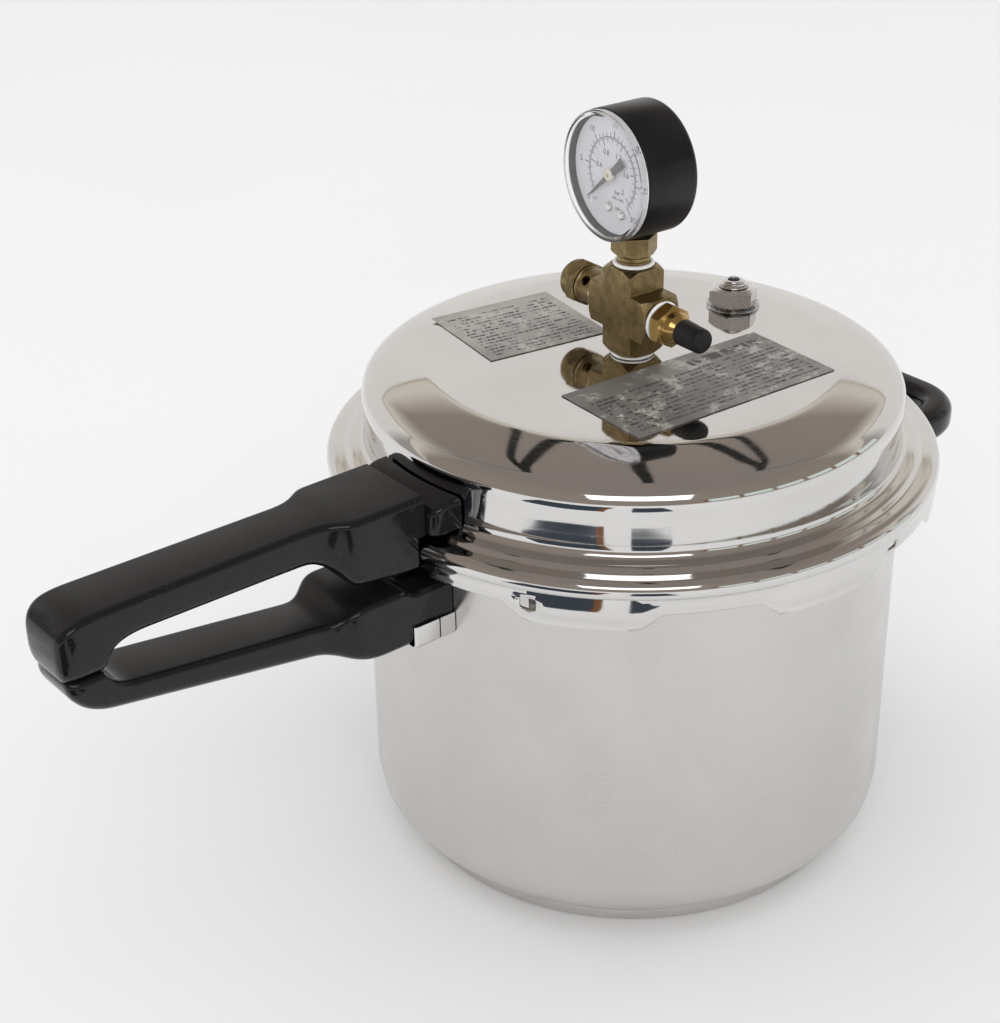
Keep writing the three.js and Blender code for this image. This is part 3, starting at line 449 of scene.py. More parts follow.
def grouped(sheet, name, **values):
    made = sheet.node("ShaderNodeGroup", node_tree=bpy.data.node_groups[name])
    for label, given in values.items():
        sheet.value(made.inputs[label.replace("_", " ")], given)
    return made.outputs


# ---- Finishes ------------------------------------------------------------------------------------


def shader(name, **plain):
    """A material's node sheet and its main shader, with plain values set on the shader's own sockets."""
    material = bpy.data.materials.new(name)
    material.use_nodes = True
    sheet = Sheet(material.node_tree)
    main = material.node_tree.nodes["Principled BSDF"]
    for label, given in plain.items():
        main.inputs[label.replace("_", " ")].default_value = given
    return material, sheet, main


def bumped(sheet, main, height, strength, distance=0.0002):
    bump = sheet.node("ShaderNodeBump")
    bump.inputs["Strength"].default_value = strength
    bump.inputs["Distance"].default_value = distance
    sheet.join(height, bump.inputs["Height"])
    sheet.join(bump.outputs[0], main.inputs["Normal"])


def steel(name, base, smooth, hazy, pitch, marks, wave=0.0):
    """Polished steel: fine ring marks from the lathe, hand smudges and a few specks of dust."""
    material, sheet, main = shader(name, Metallic=1.0)
    handled = grouped(sheet, "Handled Surface", Patch_Size=22.0, Dust_Size=700.0)
    rings = grouped(sheet, "Turning Marks", Pitch=pitch, Around=5.0)
    dull = sheet.maths("ADD", sheet.maths("MULTIPLY", handled["Patches"], hazy - smooth), smooth)
    dusty = sheet.maths("MULTIPLY", handled["Dust"], 0.05)
    lined = sheet.maths("MULTIPLY", rings["Mask"], 0.03)
    sheet.join(sheet.maths("ADD", sheet.maths("ADD", dull, dusty), lined), main.inputs["Roughness"])
    tinted = sheet.blend(handled["Patches"], tuple(base), tuple(c * 0.95 for c in base))
    sheet.join(tinted, main.inputs["Base Color"])
    waves = sheet.maths("MULTIPLY", sheet.noise(sheet.object_place(), 26.0, 1.0), wave)
    bumped(
        sheet, main, sheet.maths("ADD", sheet.maths("MULTIPLY", rings["Height"], marks), waves), 0.25, 0.0004
    )
    return material


def brass(name, base, stain, smooth, rough, stain_share, edge_glow):
    """Turned brass with brown and green stains, brighter where the edges have worn."""
    material, sheet, main = shader(name, Metallic=1.0)
    handled = grouped(sheet, "Handled Surface", Patch_Size=120.0, Dust_Size=1500.0)
    rings = grouped(sheet, "Turning Marks", Pitch=2200.0, Around=40.0)
    worn = grouped(sheet, "Worn Edges", Width=0.0005, Break_Up=700.0)
    streaks = sheet.noise(sheet.object_place(), 260.0, 5.0, 0.65)
    dirt = sheet.maths("MULTIPLY", sheet.spread(streaks, 0.42, 0.62), stain_share)
    body = sheet.blend(dirt, tuple(base), stain)
    shaded = sheet.blend(
        sheet.maths("MULTIPLY", handled["Patches"], 0.45), body, tuple(c * 0.62 for c in base)
    )
    bright = sheet.blend(sheet.maths("MULTIPLY", worn["Mask"], edge_glow), shaded, (0.78, 0.60, 0.32))
    sheet.join(bright, main.inputs["Base Color"])
    dull = sheet.spread(handled["Patches"], 0.0, 1.0, smooth, rough)
    sheet.join(
        sheet.maths("SUBTRACT", dull, sheet.maths("MULTIPLY", worn["Mask"], 0.1)), main.inputs["Roughness"]
    )
    height = sheet.maths("ADD", sheet.maths("MULTIPLY", rings["Height"], 0.25), streaks)
    bumped(sheet, main, height, 0.22, 0.00012)
    return material


def phenolic_finish():
    """Moulded black phenolic: satin where the top faces up, glossy at the sides, lightly pocked; faces that
    point up also get a lighter grey base colour, a painted sheen.
    """
    material, sheet, main = shader("Handle phenolic", IOR=1.5, Specular_IOR_Level=0.33)
    base = tuple(finishes().phenolic)
    handled = grouped(sheet, "Handled Surface", Patch_Size=38.0, Dust_Size=1300.0)
    parts = sheet.node("ShaderNodeSeparateXYZ")
    sheet.join(sheet.node("ShaderNodeTexCoord").outputs["Normal"], parts.inputs[0])
    upward = sheet.spread(parts.outputs["Z"], 0.80, 0.97)
    scuffed = sheet.maths("MULTIPLY", handled["Patches"], 0.06)
    satin = sheet.spread(upward, 0.0, 1.0, 0.08, 0.36)
    sheet.join(sheet.maths("ADD", satin, scuffed), main.inputs["Roughness"])
    # painted sheen: the base colour turns lighter grey on faces that point up, as if lit from above
    painted_top_sheen_base = sheet.blend(sheet.maths("MULTIPLY", upward, 0.8), base, (0.009, 0.009, 0.0095))
    sheet.join(
        sheet.blend(sheet.maths("MULTIPLY", handled["Dust"], 0.35), painted_top_sheen_base, (0.10, 0.10, 0.10)),
        main.inputs["Base Color"]
    )
    skin = sheet.noise(sheet.object_place(), 900.0, 2.0)
    flow = sheet.maths("MULTIPLY", sheet.noise(sheet.object_place(), 60.0, 1.0), 2.0)
    bumped(sheet, main, sheet.maths("ADD", skin, flow), 0.10, 0.00012)
    return material


def rubber_finish(name, base, roughness=0.62):
    material, sheet, main = shader(name, Specular_IOR_Level=0.35)
    handled = grouped(sheet, "Handled Surface", Patch_Size=150.0, Dust_Size=2500.0)
    chalky = sheet.blend(
        sheet.maths("MULTIPLY", handled["Patches"], 0.4), base, tuple(c * 2.0 + 0.01 for c in base)
    )
    sheet.join(
        sheet.blend(sheet.maths("MULTIPLY", handled["Dust"], 0.3), chalky, (0.2, 0.2, 0.2)),
        main.inputs["Base Color"]
    )
    sheet.join(
        sheet.spread(handled["Patches"], 0.0, 1.0, roughness - 0.12, roughness + 0.1),
        main.inputs["Roughness"]
    )
    bumped(sheet, main, sheet.noise(sheet.object_place(), 1800.0, 3.0), 0.25, 0.00008)
    return material


def painted_finish(name, base, smooth, rough, grain=1600.0, metallic=0.0, depth=0.12, specular=0.5):
    material, sheet, main = shader(name, Metallic=metallic, Specular_IOR_Level=specular)
    handled = grouped(sheet, "Handled Surface", Patch_Size=45.0, Dust_Size=1400.0)
    lighter = tuple(min(1.0, c * 1.12 + 0.004) for c in base)
    sheet.join(sheet.blend(handled["Patches"], base, lighter), main.inputs["Base Color"])
    sheet.join(sheet.spread(handled["Patches"], 0.0, 1.0, smooth, rough), main.inputs["Roughness"])
    bumped(sheet, main, sheet.noise(sheet.object_place(), grain, 2.0), depth, 0.00006)
    return material


def clear_finish(name, tint, roughness, see_through=0.0):
    """Clear moulding that lets light through to what is behind it."""
    material, sheet, main = shader(
        name, Base_Color=(*tint, 1.0), Transmission_Weight=1.0, IOR=1.46, Roughness=roughness
    )
    bumped(sheet, main, sheet.noise(sheet.object_place(), 90.0, 2.0), 0.06, 0.0001)
    clear = sheet.node("ShaderNodeBsdfTransparent")
    clear.inputs["Color"].default_value = (*tint, 1.0)
    light = sheet.node("ShaderNodeLightPath")
    passing = sheet.maths("MAXIMUM", light.outputs["Is Shadow Ray"], light.outputs["Is Diffuse Ray"])
    share = sheet.maths("MAXIMUM", passing, see_through)
    mix = sheet.node("ShaderNodeMixShader")
    sheet.join(share, mix.inputs[0])
    sheet.join(main.outputs[0], mix.inputs[1])
    sheet.join(clear.outputs[0], mix.inputs[2])
    out = sheet.tree.nodes["Material Output"]
    sheet.join(mix.outputs[0], out.inputs["Surface"])
    return material


def foil_finish(name, centre, degrees, length_m, width_m, title, tone, heading):
    """Grey foil with rows of worn dashes for print, a bold bar where heading is 1, and pale scuffs; tone
    scales the foil's grey for each label, painted light and shade on one foil.
    """
    material, sheet, main = shader(name)
    # painted light and shade: tone makes one label's foil lighter and the other's darker, though both are the
    # same foil
    base = tuple(c * tone for c in finishes().foil)
    place = sheet.mapped(sheet.object_place(), location=(-centre[0], -centre[1], 0.0))
    place = sheet.mapped(place, rotation=(0.0, 0.0, math.radians(-degrees)))
    parts = sheet.node("ShaderNodeSeparateXYZ")
    sheet.join(place, parts.inputs[0])
    along, across = parts.outputs["X"], parts.outputs["Y"]
    row_pitch = 0.0029
    strokes_per_metre, words_per_metre, blocks_per_metre = 1400.0, 160.0, 420.0
    bar_centre, bar_half, bar_drop, bar_half_height = 0.0265, 0.0185, 0.008, 0.0027
    rows = sheet.maths("DIVIDE", across, row_pitch)
    row = sheet.maths("FLOOR", rows)
    in_row = sheet.maths(
        "LESS_THAN", sheet.maths("ABSOLUTE", sheet.maths("SUBTRACT", sheet.maths("FRACT", rows), 0.5)), 0.27
    )
    letters = sheet.node("ShaderNodeCombineXYZ")
    sheet.join(sheet.maths("MULTIPLY", along, strokes_per_metre), letters.inputs[0])
    sheet.join(sheet.maths("MULTIPLY", row, 13.7), letters.inputs[1])
    strokes = sheet.maths("GREATER_THAN", sheet.noise(letters.outputs[0], 1.0, 1.0), 0.45)
    words = sheet.node("ShaderNodeCombineXYZ")
    sheet.join(sheet.maths("MULTIPLY", along, words_per_metre), words.inputs[0])
    sheet.join(sheet.maths("MULTIPLY", row, 7.3), words.inputs[1])
    spaced = sheet.maths("GREATER_THAN", sheet.noise(words.outputs[0], 1.0, 0.0), 0.36)
    inside_x = sheet.maths("LESS_THAN", sheet.maths("ABSOLUTE", along), length_m / 2 - 0.004)
    inside_y = sheet.maths("LESS_THAN", across, width_m / 2 - title)
    low_y = sheet.maths("GREATER_THAN", across, 0.003 - width_m / 2)
    text = sheet.maths("MULTIPLY", in_row, sheet.maths("MULTIPLY", strokes, spaced))
    text = sheet.maths(
        "MULTIPLY", text, sheet.maths("MULTIPLY", inside_x, sheet.maths("MULTIPLY", inside_y, low_y))
    )
    near_x = sheet.maths("ABSOLUTE", sheet.maths("SUBTRACT", along, bar_centre))
    near_y = sheet.maths("ABSOLUTE", sheet.maths("SUBTRACT", across, width_m / 2 - bar_drop))
    in_bar = sheet.maths(
        "MULTIPLY", sheet.maths("LESS_THAN", near_x, bar_half),
        sheet.maths("LESS_THAN", near_y, bar_half_height)
    )
    blocks = sheet.node("ShaderNodeCombineXYZ")
    sheet.join(sheet.maths("MULTIPLY", along, blocks_per_metre), blocks.inputs[0])
    bold = sheet.maths("GREATER_THAN", sheet.noise(blocks.outputs[0], 1.0, 0.0), 0.42)
    text = sheet.maths(
        "MAXIMUM", text, sheet.maths("MULTIPLY", sheet.maths("MULTIPLY", in_bar, bold), heading)
    )
    wear = sheet.noise(sheet.object_place(), 140.0, 5.0, 0.7)
    faded = sheet.spread(wear, 0.62, 0.50)
    rubbed = sheet.spread(sheet.noise(sheet.object_place(), 95.0, 6.0, 0.75), 0.55, 0.59)
    shade = sheet.noise(sheet.object_place(), 24.0, 3.0)
    body = sheet.blend(
        sheet.spread(shade, 0.35, 0.65), tuple(c * 0.80 for c in base), tuple(c * 1.22 for c in base)
    )
    printed = sheet.blend(sheet.maths("MULTIPLY", text, faded), body, (0.065, 0.065, 0.07))
    sheet.join(
        sheet.blend(sheet.maths("MULTIPLY", rubbed, 0.75), printed, (0.62, 0.60, 0.57)),
        main.inputs["Base Color"]
    )
    sheet.join(sheet.maths("SUBTRACT", 0.62, sheet.maths("MULTIPLY", text, 0.4)), main.inputs["Metallic"])
    sheet.join(sheet.spread(wear, 0.3, 0.7, 0.34, 0.52), main.inputs["Roughness"])
    bumped(sheet, main, sheet.maths("ADD", wear, sheet.maths("MULTIPLY", rubbed, -0.6)), 0.22, 0.00012)
    return material


def finish(name):
    """A finish by name, made once."""
    known = bpy.data.materials.get(name)
    if known:
        return known
    look = finishes()
    makers = {
        "Lid steel": lambda: steel(name, look.lid_steel, 0.030, 0.055, 1400.0, 0.012, 0.03),
        "Pot steel": lambda: steel(name, look.pot_steel, 0.19, 0.25, 900.0, 0.012, 0.03),
        "Strap steel": lambda: steel(name, (0.74, 0.73, 0.72), 0.14, 0.24, 900.0, 0.10),
        "Fitting steel": lambda: steel(name, (0.74, 0.74, 0.745), 0.12, 0.20, 1800.0, 0.2),
        "Core aluminium": lambda: steel(name, (0.72, 0.72, 0.73), 0.35, 0.45, 900.0, 0.3),
        "Old brass": lambda: brass(name, look.old_brass, (0.15, 0.12, 0.06), 0.30, 0.46, 0.7, 0.55),
        "Worn brass": lambda: brass(name, (0.62, 0.50, 0.33), (0.35, 0.26, 0.15), 0.22, 0.34, 0.4, 0.9),
        "New brass": lambda: brass(name, look.new_brass, (0.36, 0.22, 0.07), 0.14, 0.26, 0.30, 0.5),
        "Handle phenolic": phenolic_finish,
        "Cap rubber": lambda: rubber_finish(name, (0.007, 0.007, 0.007), 0.55),
        "Seal rubber": lambda: rubber_finish(name, (0.03, 0.03, 0.03)),
        "Sealing tape": lambda: painted_finish(name, (0.80, 0.80, 0.78), 0.45, 0.62, 3200.0, 0.0, 0.5),
        "Gauge black": lambda: painted_finish(name, (0.0040, 0.0045, 0.0052), 0.28, 0.36, specular=0.32),
        "Dial white": lambda: painted_finish(name, tuple(look.dial), 0.5, 0.6),
        "Dial ink": lambda: painted_finish(name, tuple(look.ink), 0.5, 0.6),
        "Pointer grey": lambda: painted_finish(name, (0.085, 0.082, 0.080), 0.35, 0.5),
        "Hub cream": lambda: painted_finish(name, (0.62, 0.585, 0.51), 0.4, 0.55),
        "Clear cup": lambda: clear_finish(name, (0.985, 0.99, 0.99), 0.02),
        "Clear washer": lambda: clear_finish(name, (0.97, 0.97, 0.965), 0.10, 0.5),
    }
    return makers[name]()


# ---- Pot -----------------------------------------------------------------------------------------


def rim_lug(start):
    """One lug of the pot's rim, with its outer edge turned down."""
    top = high("pot_body").z
    outer = high("pot_body").x
    bm = wire(
        [
            (114.8, top), (outer, top, 1.6), (outer, 160.0, 0.5), (outer - 1.4, 160.0, 0.5),
            (outer - 1.4, top - 1.4), (114.8, top - 1.4),
        ]
    )
    move(bm, turn(start))
    return spun(bm, 12, 19.0)


def lug_starts():
    return [-153.0 + 45.0 * i for i in range(8)]


class CANNER_OT_pot(bpy.types.Operator):
    """Build the pot's shell with its rim and lugs, and the stepped base under it"""

    bl_idname = "canner.pot"
    bl_label = "Pot and base"

    def execute(self, context):
        size = sizes()
        wall, corner = size.pot_wall / MM, size.pot_corner / MM
        bottom, top = low("pot_body").z, high("pot_body").z
        radius = 111.0
        inner = radius - wall
        shell = turned(
            [
                (0.0, bottom), (radius, bottom, corner), (radius, top - 1.4, 0.8), (115.6, top - 1.4, 0.4),
                (115.6, top, 0.6), (inner, top, 1.0), (inner, bottom + wall, corner - wall),
                (0.0, bottom + wall),
            ],
            size.turn_steps,
        )
        lugs = [rim_lug(start + 2.5) for start in lug_starts()]
        piece(merged(shell, *lugs), "pot", "pot", finish("Pot steel"), ["pot_body"])
        edge = high("base_cap").x
        cup_top = high("base_cap").z
        cup = turned(
            [
                (0.0, 0.0), (edge, 0.0, 1.8), (edge, cup_top, 0.7), (edge - 0.8, cup_top),
                (edge - 0.8, 0.8, 1.2), (0.0, 0.8),
            ],
            size.turn_steps,
        )
        piece(cup, "base_cup", "pot", finish("Pot steel"), ["base_cap"])
        return {"FINISHED"}


# ---- Lid -----------------------------------------------------------------------------------------


def lid_profile():
    """Outside of the lid from its middle to the foot of a lug."""
    top = high("lid_shell").z
    rim = high("lid_shell").x
    foot = low("lid_shell").z
    flat = sizes().lid_crown / MM
    line = [(flat * k / 8, top) for k in range(9)]
    line += quad_curve((flat, top), (flat + 1.8, top), (flat + 3.5, top - 0.25), 5)
    line += quad_curve((flat + 3.5, top - 0.25), (93.0, top - 1.45), (99.5, top - 3.2), 8)
    line += cubic_curve((99.5, top - 3.2), (104.6, top - 4.6), (110.4, top - 7.4), (110.4, top - 13.5), 14)
    line += [(110.15, 197.0), (109.95, 195.0), (109.85, 192.0), (109.80, 188.0), (109.75, 184.5)]
    line += quad_curve((109.75, 184.5), (109.7, 179.6), (112.6, 179.4), 9)
    line += [(114.0, 179.4)]
    line += quad_curve((114.0, 179.4), (116.6, 179.4), (117.6, 178.0), 6)
    line += quad_curve((117.6, 178.0), (118.1, 177.4), (119.0, 177.4), 3)
    line += [(121.0, 177.4)]
    line += quad_curve((121.0, 177.4), (rim, 177.4), (rim, 172.9), 10)
    line += quad_curve((rim, 172.9), (rim, 171.2), (125.0, 170.6), 4)
    step = (167.6 - 162.6) / 4
    line += [(124.9, 169.2)]
    line += [(124.8, 167.6 - step * k) for k in range(5)]
    line += [(124.7, 161.3), (124.6, 160.0), (124.6, 158.7), (124.6, foot)]
    return line


def lug_depth(angle):
    """How far a place round the skirt is cut back between lugs: 0 under a lug, 1 in a gap."""
    spot = (angle + 153.0) % 45.0
    ramp = 2.4
    into_gap = min(1.0, max(0.0, (spot - (24.0 - ramp)) / (2 * ramp)))
    into_lug = min(1.0, max(0.0, (spot - (45.0 - ramp)) / (2 * ramp)))
    past_start = min(1.0, max(0.0, (spot + ramp) / (2 * ramp)))
    depth = into_gap - into_lug if spot > 12.0 else 1.0 - past_start
    return depth * depth * (3.0 - 2.0 * depth)


def lug_shaped(bm):
    """Raise the skirt's foot between the lugs and press each lug slightly outwards."""
    foot, gap_foot, hinge = low("lid_shell").z, 164.2, 170.6
    for vert in bm.verts:
        if vert.co.z >= hinge:
            continue
        angle = math.degrees(math.atan2(vert.co.y, vert.co.x))
        depth = lug_depth(angle)
        edge = foot + (gap_foot - foot) * depth
        share = (hinge - vert.co.z) / (hinge - foot)
        vert.co.z = hinge - share * (hinge - edge)
        push = 1.0 + 0.0045 * math.sin(math.pi * min(share * 1.15, 1.0)) * (1.0 - depth)
        dent = math.exp(-(((angle + 107.0) / 1.1) ** 2) - ((vert.co.z - 159.2) / 1.6) ** 2)
        push += 0.006 * dent
        vert.co.x *= push
        vert.co.y *= push


def window(bm, from_deg, to_deg, z0, z1, corner):
    """Open a window through the skirt and round its corners."""
    doomed = []
    for face in bm.faces:
        centre = face.calc_center_median()
        angle = math.degrees(math.atan2(centre.y, centre.x))
        if from_deg < angle < to_deg and z0 < centre.z < z1 and centre.xy.length > 120.0:
            doomed.append(face)
    if not doomed:
        raise RuntimeError("the lid's window found no faces")
    inner_edges = {e for face in doomed for e in face.edges}
    bmesh.ops.delete(bm, geom=doomed, context="FACES")
    rim = [e for e in bm.edges if e in inner_edges and e.is_boundary]
    ring = {v for e in rim for v in e.verts}
    corners = []
    for vert in ring:
        a, b = [e.other_vert(vert).co - vert.co for e in vert.link_edges if e in rim]
        if a.angle(b) < math.radians(120):
            corners.append(vert)
    bmesh.ops.bevel(
        bm, geom=corners, offset=corner, offset_type="OFFSET", segments=3, profile=0.5,
        affect="VERTICES", material=-1,
    )


class CANNER_OT_lid(bpy.types.Operator):
    """Build the polished lid with its stepped rim, windows and turned-in lugs"""

    bl_idname = "canner.lid"
    bl_label = "Lid"

    def execute(self, context):
        size = sizes()
        bm = spun(wire(lid_profile(), closed=False), size.lug_steps)
        crown = max(bm.faces, key=lambda f: f.calc_center_median().z)
        if crown.normal.z < 0:
            bmesh.ops.reverse_faces(bm, faces=bm.faces)
        lug_shaped(bm)
        window(bm, -151.5, -148.5, 162.4, 167.8, 0.9)
        window(bm, -81.0, -78.0, 165.4, 168.5, 1.3)
        foot = low("lid_shell").z
        feet = [
            e for e in bm.edges
            if e.is_boundary and max(v.co.z for v in e.verts) < foot + 0.35
        ]
        for reach in (0.990, 0.932):
            grown = bmesh.ops.extrude_edge_only(bm, edges=feet)["geom"]
            fresh = [g for g in grown if isinstance(g, bmesh.types.BMVert)]
            bmesh.ops.scale(bm, vec=(reach, reach, 1.0), verts=fresh)
            feet = [g for g in grown if isinstance(g, bmesh.types.BMEdge) and g.is_boundary
                    and all(v in fresh for v in g.verts)]
        lid = piece(bm, "lid", "lid", finish("Lid steel"), ["lid_shell"], sharp=50.0)
        wall = lid.modifiers.new("Wall", "SOLIDIFY")
        wall.thickness = size.lid_wall
        wall.offset = -1.0
        wall.use_even_offset = True
        return {"FINISHED"}


# ---- Long handles --------------------------------------------------------------------------------


def handle_stations(top, bottom, half, distances, edge, belly):
    """Cross-sections of a handle that points along -X, at distances from the pot's axis."""
    stations = []
    for d in distances:
        t, b = at(top, d), at(bottom, d)
        stations.append(
            {
                "place": shift(x=-d), "half_width": at(half, d), "bottom": b, "top": t,
                "low_round": belly, "high_round": edge,
            }
        )
    return stations


def spaced(*spans):
    """Distances in spans of (start, end, step), without repeats."""
    found = []
    for start, end, step in spans:
        count = max(1, round((end - start) / step))
        found += [start + (end - start) * k / count for k in range(count)]
    return found + [spans[-1][1]]


def upper_handle():
    top_z, split = high("upper_handle").z, low("upper_handle").z
    tip = -low("upper_handle").x
    seat = 172.8
    top = [(121.0, top_z), (253.0, top_z)] + cubic_curve(
        (253.0, top_z), (266.0, top_z), (tip, 193.0), (tip, 184.5), 16
    )
    bottom = [(121.0, split), (130.0, split), (151.0, split + 3.0)]
    bottom += cubic_curve((151.0, split + 3.0), (157.0, 169.5), (158.0, 181.0), (172.0, 181.4), 12)
    bottom += [(236.0, 182.4)]
    bottom += cubic_curve((236.0, 182.4), (249.0, 182.6), (252.5, 178.0), (254.0, seat), 12)
    bottom += [(268.8, seat)] + quad_curve((268.8, seat), (tip, seat + 1.0), (tip, 183.0), 8)
    half = [(121.0, 19.0), (150.0, 19.0)] + cubic_curve(
        (150.0, 19.0), (157.0, 19.0), (157.0, 13.4), (168.0, 12.8), 12
    )
    half += [(262.0, 14.0)] + quad_curve((262.0, 14.0), (tip, 14.0), (tip, 9.0), 8)
    distances = spaced(
        (121.5, 123.0, 1.5), (123.0, 148.0, 3.0), (148.0, 174.0, 1.6), (174.0, 234.0, 6.0),
        (234.0, 255.0, 1.3), (255.0, 268.0, 1.3), (268.0, tip - 0.05, 0.45),
    )
    size = sizes()
    return lofted(
        handle_stations(top, bottom, half, distances, size.handle_edge / MM, size.handle_belly / MM)
    )


def lower_handle():
    split = high("lower_handle").z
    floor = low("lower_handle").z
    tip = -low("lower_handle").x
    top = [(105.0, 156.8), (126.0, 156.8)] + cubic_curve(
        (126.0, 156.8), (129.0, 156.8), (129.5, 159.5), (133.0, 159.5), 6
    )
    top += [(148.0, 159.5)] + cubic_curve((148.0, 159.5), (156.0, 159.3), (156.0, 154.4), (164.0, 154.4), 12)
    top += [(243.0, 164.7)] + cubic_curve((243.0, 164.7), (249.0, 165.6), (251.5, 168.0), (254.5, split), 8)
    top += [(tip, split)]
    bottom = [(105.0, floor), (142.0, floor)] + cubic_curve(
        (142.0, floor), (152.0, 134.4), (158.0, 140.0), (170.0, 142.0), 12
    )
    bottom += [(252.0, 155.9)] + cubic_curve(
        (252.0, 155.9), (262.0, 157.6), (tip, 164.0), (tip, split - 1.5), 14
    )
    half = [(105.0, 18.8), (150.0, 18.8)] + cubic_curve(
        (150.0, 18.8), (157.0, 18.8), (157.0, 13.4), (168.0, 12.8), 12
    )
    half += [(260.0, 13.4)] + quad_curve((260.0, 13.4), (tip, 13.4), (tip, 8.5), 8)
    distances = spaced(
        (106.0, 126.0, 5.0), (126.0, 134.0, 1.0), (134.0, 148.0, 3.5), (148.0, 174.0, 1.6),
        (174.0, 240.0, 6.0),
        (240.0, 256.0, 1.3), (256.0, 266.0, 1.25), (266.0, tip - 0.05, 0.45),
    )
    size = sizes()
    return lofted(
        handle_stations(top, bottom, half, distances, size.handle_edge / MM, size.handle_belly / MM)
    )


def screw_pocket(x, y, z0, z1):
    bm = bmesh.new()
    bmesh.ops.create_cone(bm, cap_ends=True, segments=32, radius1=3.9, radius2=3.9, depth=z1 - z0)
    return move(bm, shift(x, y, (z0 + z1) / 2))


def pot_cylinder(radius, z0, z1):
    bm = bmesh.new()
    bmesh.ops.create_cone(bm, cap_ends=True, segments=160, radius1=radius, radius2=radius, depth=z1 - z0)
    return move(bm, shift(z=(z0 + z1) / 2))


class CANNER_OT_long_handles(bpy.types.Operator):
    """Build the paired long handles, the saddle guard and the flame guard strap"""

    bl_idname = "canner.long_handles"
    bl_label = "Long handles"

    def execute(self, context):
        black = finish("Handle phenolic")
        upper = carved(upper_handle(), pot_cylinder(126.4, 150.0, 180.2))
        for x in (-131.0, -139.0):
            upper = carved(upper, screw_pocket(x, 0.0, 160.0, 171.5))
        piece(upper, "handle_upper", "lid", black, ["upper_handle"], sharp=38.0)
        lower = carved(lower_handle(), pot_cylinder(111.3, 120.0, 180.0))
        lower = carved(lower, screw_pocket(-134.0, 0.0, 120.0, 137.5))
        piece(lower, "handle_lower", "pot", black, ["lower_handle"], sharp=38.0)
        self.guard(black)
        self.strap()
        return {"FINISHED"}

    def guard(self, black):
        """Saddle between the lid's neck and the upper handle, with a sloping top."""
        bottom, top_z = low("handle_guard").z, high("handle_guard").z
        outer = -low("handle_guard").x
        wide = high("handle_guard").y
        top = [(98.0, top_z), (112.0, top_z)] + cubic_curve(
            (112.0, top_z), (116.5, top_z - 0.6), (119.5, top_z - 2.0), (outer, top_z - 4.6), 8
        )
        half = [(98.0, wide), (114.5, wide)] + quad_curve(
            (114.5, wide), (outer, wide), (outer, wide - 6.0), 8
        )
        flat = [(98.0, bottom), (outer, bottom)]
        distances = spaced((100.0, 112.0, 4.0), (112.0, outer - 0.02, 0.8))
        saddle = lofted(handle_stations(top, flat, half, distances, 2.4, 1.2))
        saddle = carved(saddle, pot_cylinder(110.7, 170.0, 200.0))
        piece(saddle, "guard_saddle", "lid", black, ["handle_guard"], sharp=38.0)

    def strap(self):
        """Thin polished strap round the lower root, in two steps on each side."""
        x0, z0 = low("flame_guard").x, low("flame_guard").z
        wide, z1 = high("flame_guard").y, high("flame_guard").z
        outer = soften(block(x0, -107.0, -wide, wide, z0, z1 + 12.0), 2.0, 40.0, 4)
        inner = soften(block(x0 - 5.0, -100.0, 0.8 - wide, wide - 0.8, z0 + 0.8, z1 + 20.0), 1.6, 40.0, 4)
        strap = carved(outer, inner)
        strap = carved(strap, block(-140.0, -100.0, -40.0, 40.0, z1, z1 + 30.0))
        strap = carved(strap, block(-117.1, -116.5, -40.0, 40.0, z0 + 1.6, z1 + 5.0))
        strap = carved(strap, pot_cylinder(111.3, 120.0, 180.0))
        piece(strap, "flame_strap", "pot", finish("Strap steel"), ["flame_guard"], sharp=38.0)


# ---- Helper handle -------------------------------------------------------------------------------


class CANNER_OT_helper(bpy.types.Operator):
    """Build the short helper handle, a rounded loop on a block against the pot"""

    bl_idname = "canner.helper"
    bl_label = "Helper handle"

    def execute(self, context):
        reach, wide = high("helper_handle").x, high("helper_handle").y
        z0, z1 = low("helper_handle").z, high("helper_handle").z
        bar = 7.0
        far, side, corner = reach - bar, wide - bar, 18.0
        path = [(106.0, -side), (120.0, -side), (130.0, -side), (far - corner, -side)]
        path += quad_curve((far - corner, -side), (far - 1.5, 1.5 - side), (far, corner - side), 12)
        path += [(far, -12.0), (far, 0.0)]
        path += [(x, -y) for x, y in reversed(path[:-1])]
        stations = []
        for i, (x, y) in enumerate(path):
            before, after = path[max(i - 1, 0)], path[min(i + 1, len(path) - 1)]
            heading = math.degrees(math.atan2(after[1] - before[1], after[0] - before[0]))
            stations.append(
                {
                    "place": shift(x, y) @ turn(heading), "half_width": bar, "bottom": z0, "top": z1,
                    "low_round": 5.5, "high_round": 5.5,
                }
            )
        loop = lofted(stations, segments=7)
        saddle = lofted(
            [
                {
                    "place": shift(118.2, y) @ turn(90.0), "half_width": 7.9, "bottom": z0, "top": 157.0,
                    "low_round": 2.2, "high_round": 2.2,
                }
                for y in spaced((-wide + 1.2, wide - 1.2, 8.0))
            ]
        )
        ledge = solid_turned(
            [(0, 120), (111.3, 120), (111.3, 157.0), (126.5, 157.0), (126.5, 175), (0, 175)], 160
        )
        handle = carved(carved(loop, saddle, "UNION"), ledge)
        piece(
            handle, "helper_loop", "pot", finish("Handle phenolic"), ["helper_handle"], sharp=38.0
        )
        return {"FINISHED"}


# ---- Brass cross and gauge -----------------------------------------------------------------------

FITTINGS = turn(-5.0)
CROSS_Z = 232.9
GAUGE_Z = 290.5
ALONG_PLUS_Y = FITTINGS @ shift(z=CROSS_Z) @ turn(-90.0, "X")
ALONG_MINUS_Y = FITTINGS @ shift(z=CROSS_Z) @ turn(90.0, "X")
# the gauge's own view: X to the reader's right, Y up, Z towards the reader
GAUGE_FACE = FITTINGS @ shift(z=GAUGE_Z) @ Matrix(((0, 0, -1, 0), (-1, 0, 0, 0), (0, 1, 0, 0), (0, 0, 0, 1)))


